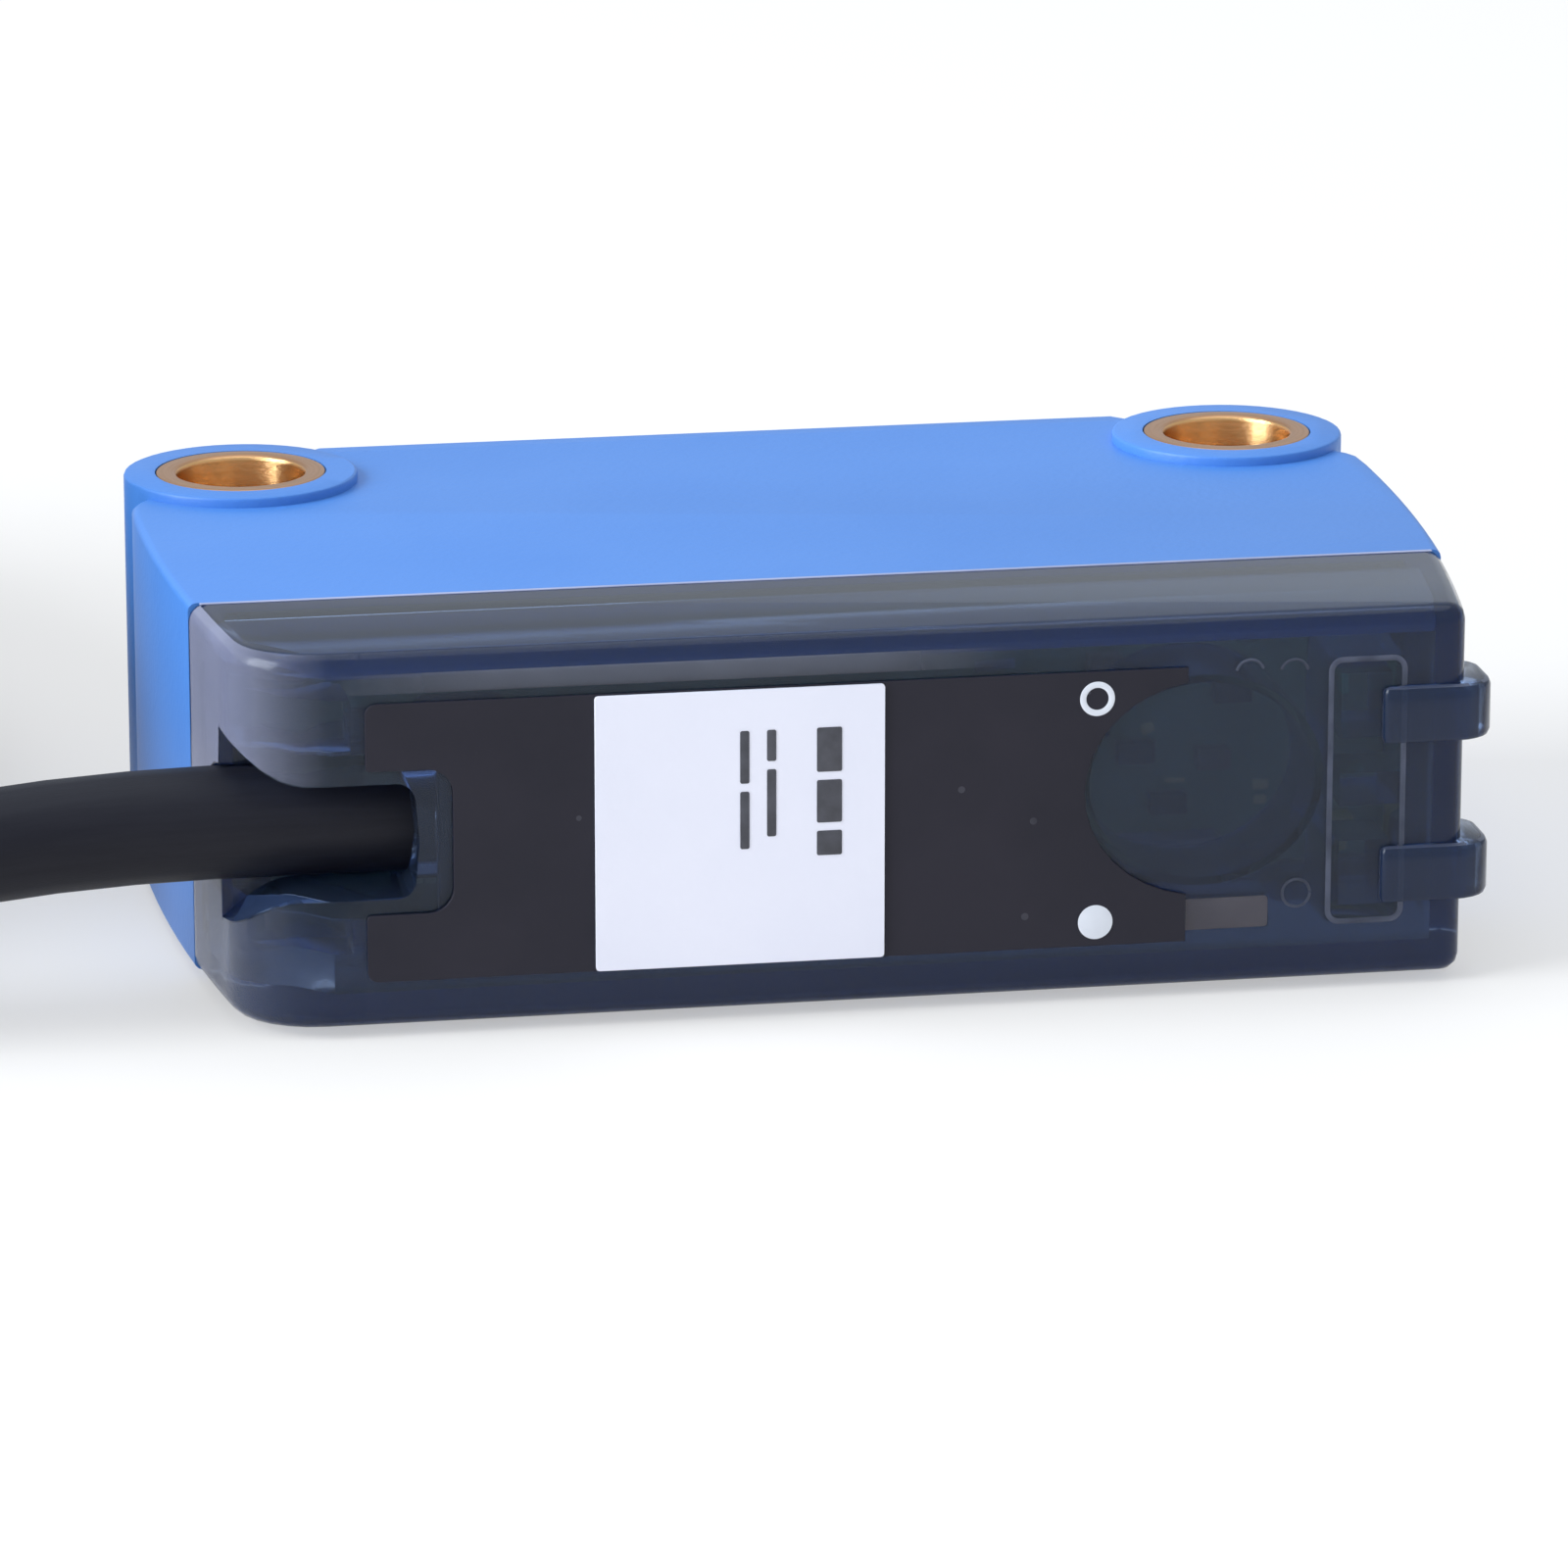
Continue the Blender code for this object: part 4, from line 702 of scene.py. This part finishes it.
BORE_R, BUSHING_R, BOSS_X, BOSS_Y, TOP_Z = 1.60, 2.13, 12.7, 7.1375, 9.6
RIM_ROUND, BORE_ROUND = 0.05, 0.14
rim_r, bore_r = BUSHING_R - RIM_ROUND, BORE_R + BORE_ROUND
bushing_profile = (
    round_corner((rim_r, TOP_Z - RIM_ROUND), RIM_ROUND, 0, 90)
    + round_corner((bore_r, TOP_Z - BORE_ROUND), BORE_ROUND, 90, 180)
    + round_corner((bore_r, BORE_ROUND), BORE_ROUND, 180, 270)
    + round_corner((rim_r, RIM_ROUND), RIM_ROUND, 270, 360)
)
for name, side in (("bushing_left", -1), ("bushing_right", 1)):
    bushing = lathe("turned_" + name, (side * BOSS_X, BOSS_Y), bushing_profile)
    settle(bushing, finishes["brass"], [name])
    bushing.data.materials.append(finishes["brass_bore"])
    middle = gather(bushing.data.polygons, "center", wide=3)
    radius = np.hypot(middle[0::3] / MM - side * BOSS_X, middle[1::3] / MM - BOSS_Y)
    in_bore = radius < BORE_R + 0.05
    bushing.data.polygons.foreach_set("material_index", in_bore.astype(np.int32))
print("bushing profile points:", len(bushing_profile))

# %% [markdown]
# Thin flat things lie on the rear face and on the board: plain marks, solder pads and small
# tinned spots. Each is a plate whose outline is a rounded rectangle, drawn in the plane of the
# face and lifted a little, with its front edge rounded over.

# %% A rounded plate
def rounded(half_u, half_v, corner, shrink, around):
    """The outline (u, v) of a rounded rectangle, drawn in by shrink on every side."""
    a = np.linspace(0, 2 * pi, around, endpoint=False) + pi / around
    r = max(corner - shrink, 0.001)
    u = np.sign(np.cos(a)) * (half_u - shrink - r) + r * np.cos(a)
    v = np.sign(np.sin(a)) * (half_v - shrink - r) + r * np.sin(a)
    return u, v


def plate_rings(half_u, half_v, corner, thick, edge, around=40):
    """Rings of a plate from its foot to its face: over the round of its front edge the outline
    draws in by edge (1 - cos t) as it rises by edge sin t."""
    t = np.radians([0, 30, 60, 90])
    inset = np.concatenate([[0.0], edge * (1 - np.cos(t))])
    rise = np.concatenate([[0.0], thick - edge + edge * np.sin(t)])
    rings = []
    for shrink, height in zip(inset, rise):
        u, v = rounded(half_u, half_v, corner, shrink, around)
        rings.append(np.stack([u, v, np.full_like(u, height)], -1))
    return np.array(rings)


def on_rear(name, x, z, half_x, half_z, corner, face_y, thick=0.012, turn=0.0, edge=0.004):
    """A plate on a plane of constant y, its face towards the camera side (-y)."""
    rings = plate_rings(half_x, half_z, corner, thick, edge)
    u, v, w = rings[..., 0], rings[..., 1], rings[..., 2]
    c, s = cos(radians(turn)), sin(radians(turn))
    return skin(name, np.stack([x + c * u - s * v, face_y - w, z + s * u + c * v], -1), 50)


def put(made, finish_name, replaces=()):
    """Gives a small piece its finish, its body and the CAD nodes it stands for."""
    return settle(made, finishes[finish_name], replaces)


REAR_Y, BOARD_Y, BOARD_THICK = -10.3625, -4.8125, 0.8
LABEL_GAP, LABEL_THICK, STICKER_GAP, STICKER_THICK = 0.03, 0.10, 0.015, 0.08
BOARD_FACE_Y = BOARD_Y - BOARD_THICK
LABEL_FACE_Y = REAR_Y - LABEL_GAP - LABEL_THICK
STICKER_FACE_Y = LABEL_FACE_Y - STICKER_GAP - STICKER_THICK
PRINT_LIFT = 0.002
PAD_THICK, PAD_EDGE = 0.03, 0.01
pads = [  # x, z, half width, half height, corner, turn in degrees, metal
    (4.10, 7.03, 0.48, 0.10, 0.03, 4, "tinned_copper"),
    (7.62, 6.96, 0.52, 0.16, 0.08, 7, "gold_plate"),
    (7.87, 5.38, 0.16, 0.12, 0.06, 20, "gold_plate"),
    (8.54, 4.09, 0.24, 0.06, 0.03, 0, "gold_plate"),
    (10.67, 3.89, 0.20, 0.13, 0.06, 0, "gold_plate"),
    (10.67, 3.50, 0.16, 0.11, 0.06, 0, "gold_plate"),
    (11.05, 3.30, 0.12, 0.10, 0.05, 0, "gold_plate"),
    (10.40, 2.75, 0.12, 0.08, 0.04, 0, "gold_plate"),
]
for k, (x, z, half_x, half_z, corner, turn, metal) in enumerate(pads, 1):
    pad = on_rear(f"board_pad_{k}", x, z, half_x, half_z, corner, BOARD_FACE_Y, PAD_THICK, turn,
                  PAD_EDGE)
    put(pad, metal)
print("board pads:", len(pads))

# %% [markdown]
# The smoked plastic carries painted light at its cable end: a painted sheen on thin fading skins
# makes the end paler, more above the cable than below. Painted highlights run along the upper edge
# of the rear wall, round the rim of the light frame and along the seam on the top. The plastic is
# cloudy at the root of the rest under the adjuster place, which a plate of its own gives. The skin
# of the end follows the cover's outline round its corner and fades out on the rear face.

# %% Painted light and cloudy plastic of the cover
CREST_X, CREST_Y, BOW_R, COVER_CORNER_R, SKIN_CORNER_SHARE = 15.72, 3.1375, 80.0, 2.2, 0.95
CHANNEL_R, FLARE, FLARE_START, FLARE_RUN = 1.40, 1.15, -13.24, 1.94
SKIN_START_Y, SKIN_END_X, FLAT_HALF_Z, EDGE_ROUND = -5.15, -11.87, 4.15, 0.4
SKIN_LIFTS, OPENING_GAP, FLAT_POINTS = (0.014, 0.004), 0.04, 7
RIB_R, RIB_HALF, RIB_Y = 0.34, 0.035, -9.78


def end_x(y):
    """Half width of the bowed end: x = crest - R + sqrt(R^2 - (y - crest_y)^2)."""
    return CREST_X - BOW_R + np.sqrt(BOW_R**2 - (y - CREST_Y) ** 2)


def cover_path():
    """Down the end wall, round the corner as an arc that touches both lines, and onto the rear."""
    wall_y = np.concatenate([
        np.linspace(SKIN_START_Y, -7.9, 8), [-7.99], [REAR_Y + COVER_CORNER_R],
    ])
    wall = np.stack([-end_x(wall_y), wall_y], -1)
    tip = np.array([-end_x(REAR_Y), REAR_Y])
    before, after = wall[-1] - tip, np.array([1.0, 0.0])
    before /= np.linalg.norm(before)
    half = np.arccos(before @ after) / 2
    r = COVER_CORNER_R * SKIN_CORNER_SHARE
    centre = tip + (before + after) / np.linalg.norm(before + after) * r / sin(half)
    leg = r / np.tan(half)
    first, last = tip + before * leg - centre, tip + after * leg - centre
    a = np.linspace(np.arctan2(first[1], first[0]), np.arctan2(last[1], last[0]), 7)
    arc = centre + r * np.stack([np.cos(a), np.sin(a)], -1)
    rear = np.stack([np.linspace(arc[-1, 0] + 0.15, SKIN_END_X, 4), np.full(4, REAR_Y)], -1)
    return np.concatenate([wall, arc, rear])


def painted_sheen_skin(name, upper):
    """A thin skin on the path: z runs from the cable's opening, half as wide as r(x), to the
    rounded edge, where it follows the round for 70 degrees."""
    path = cover_path()
    step = np.gradient(path, axis=0)
    out = np.stack([step[:, 1], -step[:, 0]], -1)
    out /= np.linalg.norm(out, axis=1, keepdims=True)
    k = np.clip((FLARE_START - path[:, 0]) / FLARE_RUN, 0, 1)
    flared = CHANNEL_R + FLARE * (1 - np.cos(pi / 2 * k))
    inner = np.sqrt(np.clip(CHANNEL_R**2 - (path[:, 1] - CABLE_Y) ** 2, 0, None))
    r = np.where(path[:, 1] > CABLE_Y, inner, flared) + OPENING_GAP
    share = np.linspace(0, 1, FLAT_POINTS)[None, :]
    flat = r[:, None] * (1 - share) + FLAT_HALF_Z * share
    t = np.radians(np.linspace(12, 70, 5))
    z = np.concatenate([flat, np.tile(FLAT_HALF_Z + EDGE_ROUND * np.sin(t), (len(path), 1))], 1)
    inset = np.concatenate([np.zeros(FLAT_POINTS), EDGE_ROUND * (1 - np.cos(t))])[None, :]
    up = np.concatenate([np.zeros(FLAT_POINTS), np.sin(t)])[None, :]
    rings = []
    for lift in SKIN_LIFTS:
        reach = lift * np.sqrt(1 - up**2) - inset
        xy = path[:, None, :] + out[:, None, :] * reach[..., None]
        height = MID_Z + (1 if upper else -1) * (z + lift * up)
        rings.append(np.concatenate([xy, height[..., None]], -1))
    loop = np.concatenate([rings[0], rings[1][:, ::-1]], 1)
    made = skin(name, loop if upper else loop[:, ::-1], 60)
    corner, around = gather(made.data.loops, "vertex_index", int), loop.shape[1]
    lay_uv(made, np.linspace(0, 1, len(path))[corner // around], (corner % around) / around)
    return made


def uv_along_x(made, low, high):
    """U falls from 1 at both ends to 0 in the middle: u = |2 (x - low) / (high - low) - 1|."""
    corner = gather(made.data.loops, "vertex_index", int)
    x = gather(made.data.vertices, "co", wide=3)[0::3][corner] / MM
    u = np.abs(2 * (x - low) / (high - low) - 1)
    lay_uv(made, u, 0 * u)
    return made


def frame_ring(name, x, z, half_x, half_z, corner, wide, face_y, thick=0.05):
    """A rounded rectangular ring: an outline and the same drawn in by the ring's width, with a
    small slope on both edges of its face."""
    low, high = thick * 0.6, thick
    section = ((0, 0), (0, low), (wide * 0.3, high), (wide * 0.7, high), (wide, low), (wide, 0))
    rows = []
    for shrink, height in section:
        u, v = rounded(half_x, half_z, corner, shrink, 48)
        rows.append(np.stack([x + u, np.full_like(u, face_y - height), z + v], -1))
    grid = np.array(rows).transpose(1, 0, 2)
    return mesh_object(name, grid, grid_faces(*grid.shape[:2], close_rows=True).tolist(), 40)


def arc_rib(name, x, z, first, last):
    """A thin round bead along an arc in the wall's plane, on (x + R cos t, z + R sin t)."""
    t = np.radians(np.linspace(first, last, 33))[:, None]
    a = np.linspace(0, 2 * pi, 12, endpoint=False)[None, :]
    r = RIB_R + RIB_HALF * np.cos(a)
    y = RIB_Y + RIB_HALF * np.sin(a) + 0 * t
    return skin(name, np.stack([x + r * np.cos(t), y, z + r * np.sin(t)], -1))


def upper_strip(name, low, high, y, z, half_y, half_z):
    """A bar along x with a flattened round section: z = z0 + hz |cos a|^0.6, y = y0 + hy sin a."""
    x = np.linspace(low, high, 33)[:, None]
    a = np.linspace(0, 2 * pi, 20, endpoint=False)[None, :]
    section_z = z + half_z * np.sign(np.cos(a)) * np.abs(np.cos(a)) ** 0.6
    section_y = y + half_y * np.sin(a)
    strip = skin(name, np.stack([x + 0 * a, section_y + 0 * x, section_z + 0 * x], -1))
    return uv_along_x(strip, low, high)


def seam_highlight_plate(name, y, z):
    """A thin bead on the cover's top along the seam with the housing: a painted highlight."""
    bead = plate_rings(half_u=15.05, half_v=0.06, corner=0.05, thick=0.025, edge=0.015)
    points = np.stack([bead[..., 0], y - bead[..., 1], z + bead[..., 2]], -1)
    return skin(name, points[:, ::-1], 50)


milky_and_painted_light = [
    # A painted sheen on the cable end, paler above the cable than below
    (painted_sheen_skin("end_painted_sheen_upper", True), "end_painted_sheen"),
    (painted_sheen_skin("end_painted_sheen_lower", False), "end_foot_painted_sheen"),
    # A painted highlight along the upper edge of the rear wall
    (upper_strip("edge_painted_highlight_upper", low=-13.2, high=4.0, y=-9.85, z=8.50, half_y=0.03,
                 half_z=0.24), "edge_painted_highlight"),
    (on_rear("milky_rest_plate", x=8.32, z=1.93, half_x=1.60, half_z=0.38, corner=0.1,
             face_y=-9.80, thick=0.05, edge=0.02), "milky_rest"),
    # A painted highlight round the rim of the light frame
    (frame_ring("frame_rim_painted_highlight", x=12.3, z=4.8, half_x=0.96, half_z=3.30, corner=0.35, wide=0.13,
                face_y=-9.75), "frame_painted_highlight"),
    (arc_rib("arc_rib_1", x=9.42, z=7.80, first=20, last=165), "milky_faint"),
    (arc_rib("arc_rib_2", x=10.50, z=7.76, first=15, last=160), "milky_faint"),
    (arc_rib("arc_rib_3", x=10.62, z=2.33, first=3, last=357), "milky_faint"),
    # A painted highlight along the seam on the cover's top
    (seam_highlight_plate("seam_painted_highlight_top", y=-5.05, z=9.35), "seam_painted_highlight"),
]
for piece, finish_name in milky_and_painted_light:
    put(piece, finish_name)
print("milky pieces:", len(milky_and_painted_light))

# %% [markdown]
# Two plain marks stand beside the oval well, an open ring over a filled disc, and the white
# sticker carries plain bars.

# %% Printed marks
def ring_mark(name, x, z, outer, inner, face_y, thick=0.012, edge=0.004, steps=64):
    """A flat ring on the rear face: a lathe about an axis along y."""
    a = np.linspace(0, 2 * pi, steps, endpoint=False)[:, None]
    r = np.array([[outer, outer - 0.01, inner + 0.01, inner, inner, outer]])
    w = np.array([[thick - edge, thick, thick, thick - edge, 0, 0]])
    grid = np.stack([x + r * np.cos(a), face_y - w + 0 * a, z + r * np.sin(a)], -1)
    return mesh_object(name, grid, grid_faces(*grid.shape[:2], close_rows=True).tolist(), 40)


MARK_X, MARK_R = 5.6, 0.42
mark_ring = ring_mark("mark_ring", MARK_X, 7.52, MARK_R, 0.27, LABEL_FACE_Y - PRINT_LIFT)
mark_disc = on_rear("mark_disc", MARK_X, 2.02, MARK_R, MARK_R, 0.419, LABEL_FACE_Y - PRINT_LIFT)
put(mark_ring, "print_white")
put(mark_disc, "print_white")
bars = [  # x, z, half width, half height
    (-2.86, 6.52, 0.11, 0.64), (-2.86, 4.98, 0.11, 0.70), (-2.22, 6.78, 0.11, 0.38),
    (-2.22, 5.38, 0.11, 0.82), (-0.84, 6.62, 0.30, 0.54), (-0.84, 5.36, 0.30, 0.52),
    (-0.84, 4.34, 0.30, 0.30),
]
for k, (x, z, half_x, half_z) in enumerate(bars, 1):
    bar = on_rear(f"sticker_bar_{k}", x, z, half_x, half_z, 0.05, STICKER_FACE_Y - PRINT_LIFT)
    put(bar, "print_dark")
print("marks:", 2 + len(bars))

# %% [markdown]
# The coil is held by a nylon tie: a strap that goes round the turns and through its lock, with
# its cut end standing out a little. The strap is a flat profile carried round a rounded rectangle
# that just clears the turns.

# %% The coil's tie
TIE_INNER_R, TIE_OUTER_R, TIE_LOW_Z, TIE_HIGH_Z = 9.18, 23.22, 0.48, 11.76
TIE_THICK, TIE_HALF_WIDTH, TIE_CORNER, TIE_STEPS = 0.45, 1.1, 1.2, 144
LOCK_R, LOCK_LIFT, END_R, END_LIFT = 17.7, 0.1, 18.3, 1.05


def tie_strap():
    """Rings of the strap's section: along a rounded rectangle of radius and height, each point has
    an outward direction, and the section reaches thick outward and half the width to each side."""
    a = np.linspace(0, 2 * pi, TIE_STEPS, endpoint=False) + pi / TIE_STEPS
    inner_round = TIE_CORNER - TIE_THICK
    half_r = (TIE_OUTER_R - TIE_INNER_R) / 2 - inner_round
    half_z = (TIE_HIGH_Z - TIE_LOW_Z) / 2 - inner_round
    out_r, out_z = np.cos(a), np.sin(a)
    base_r = (TIE_OUTER_R + TIE_INNER_R) / 2 + np.sign(out_r) * half_r
    base_z = (TIE_HIGH_Z + TIE_LOW_Z) / 2 + np.sign(out_z) * half_z
    inset = np.array([0.10, 0.04, 0.0, 0.0, 0.04, 0.10])
    depth = np.array([0.0, 0.02, 0.10, TIE_THICK - 0.10, TIE_THICK - 0.02, TIE_THICK])
    reach = inner_round + np.concatenate([depth, depth[::-1]])
    w = np.concatenate([inset - TIE_HALF_WIDTH, TIE_HALF_WIDTH - inset])
    r = base_r[:, None] + out_r[:, None] * reach
    z = base_z[:, None] + out_z[:, None] * reach
    return np.stack([COIL_X - r, COIL_Y - w + 0 * r, z], -1)


def on_coil(rings, radius, lift):
    """A plate's rings on the coil's top: u runs outward along -x, v along y and its face is up."""
    u, v, w = rings[..., 0], rings[..., 1], rings[..., 2]
    return np.stack([COIL_X - radius - u, COIL_Y + v, TIE_HIGH_Z + lift + w], -1)


strap = tie_strap()
lock_plate = plate_rings(half_u=1.5, half_v=1.72, corner=0.35, thick=1.75, edge=0.22, around=48)
end_plate = plate_rings(half_u=0.22, half_v=1.0, corner=0.15, thick=0.95, edge=0.1, around=32)
lock = on_coil(lock_plate, LOCK_R, LOCK_LIFT)
cut_end = on_coil(end_plate, END_R, END_LIFT)
lock_first = strap.shape[0] * strap.shape[1]
end_first = lock_first + lock.shape[0] * lock.shape[1]
tie_points = np.concatenate([part.reshape(-1, 3) for part in (strap, lock, cut_end)])
tie_faces = grid_faces(*strap.shape[:2], close_rows=True).tolist()
tie_faces += capped(lock, lock_first) + capped(cut_end, end_first)
tie = mesh_object("coil_tie_strap", tie_points, tie_faces, 40)
put(tie, "tie_nylon", ["coil_tie"])
print("tie faces:", len(tie.data.polygons))

# %% The finishes of the nodes that stay
slots = {
    "receiver_diode": "diode_resin", "controller_chip": "chip_black", "output_driver": "chip_black",
    "storage_capacitor": "ceramic_grey", "led_green": "led_green_resin",
    "led_yellow": "led_yellow_resin", "pin_strip": "black_plastic",
    "lead_brown": "wire_brown_pvc", "lead_blue": "wire_blue_pvc", "lead_black": "wire_black_pvc",
}
numbered = {
    "chip_resistor": "chip_black", "ceramic_capacitor": "ceramic_tan", "board_pin": "gold_plate",
}
for node in nodes:
    for start, finish_name in numbered.items():
        if node.startswith(start):
            slots[node] = finish_name
for node, finish_name in slots.items():
    nodes[node].data.materials.clear()
    nodes[node].data.materials.append(finishes[finish_name])
print("nodes kept:", len(slots))
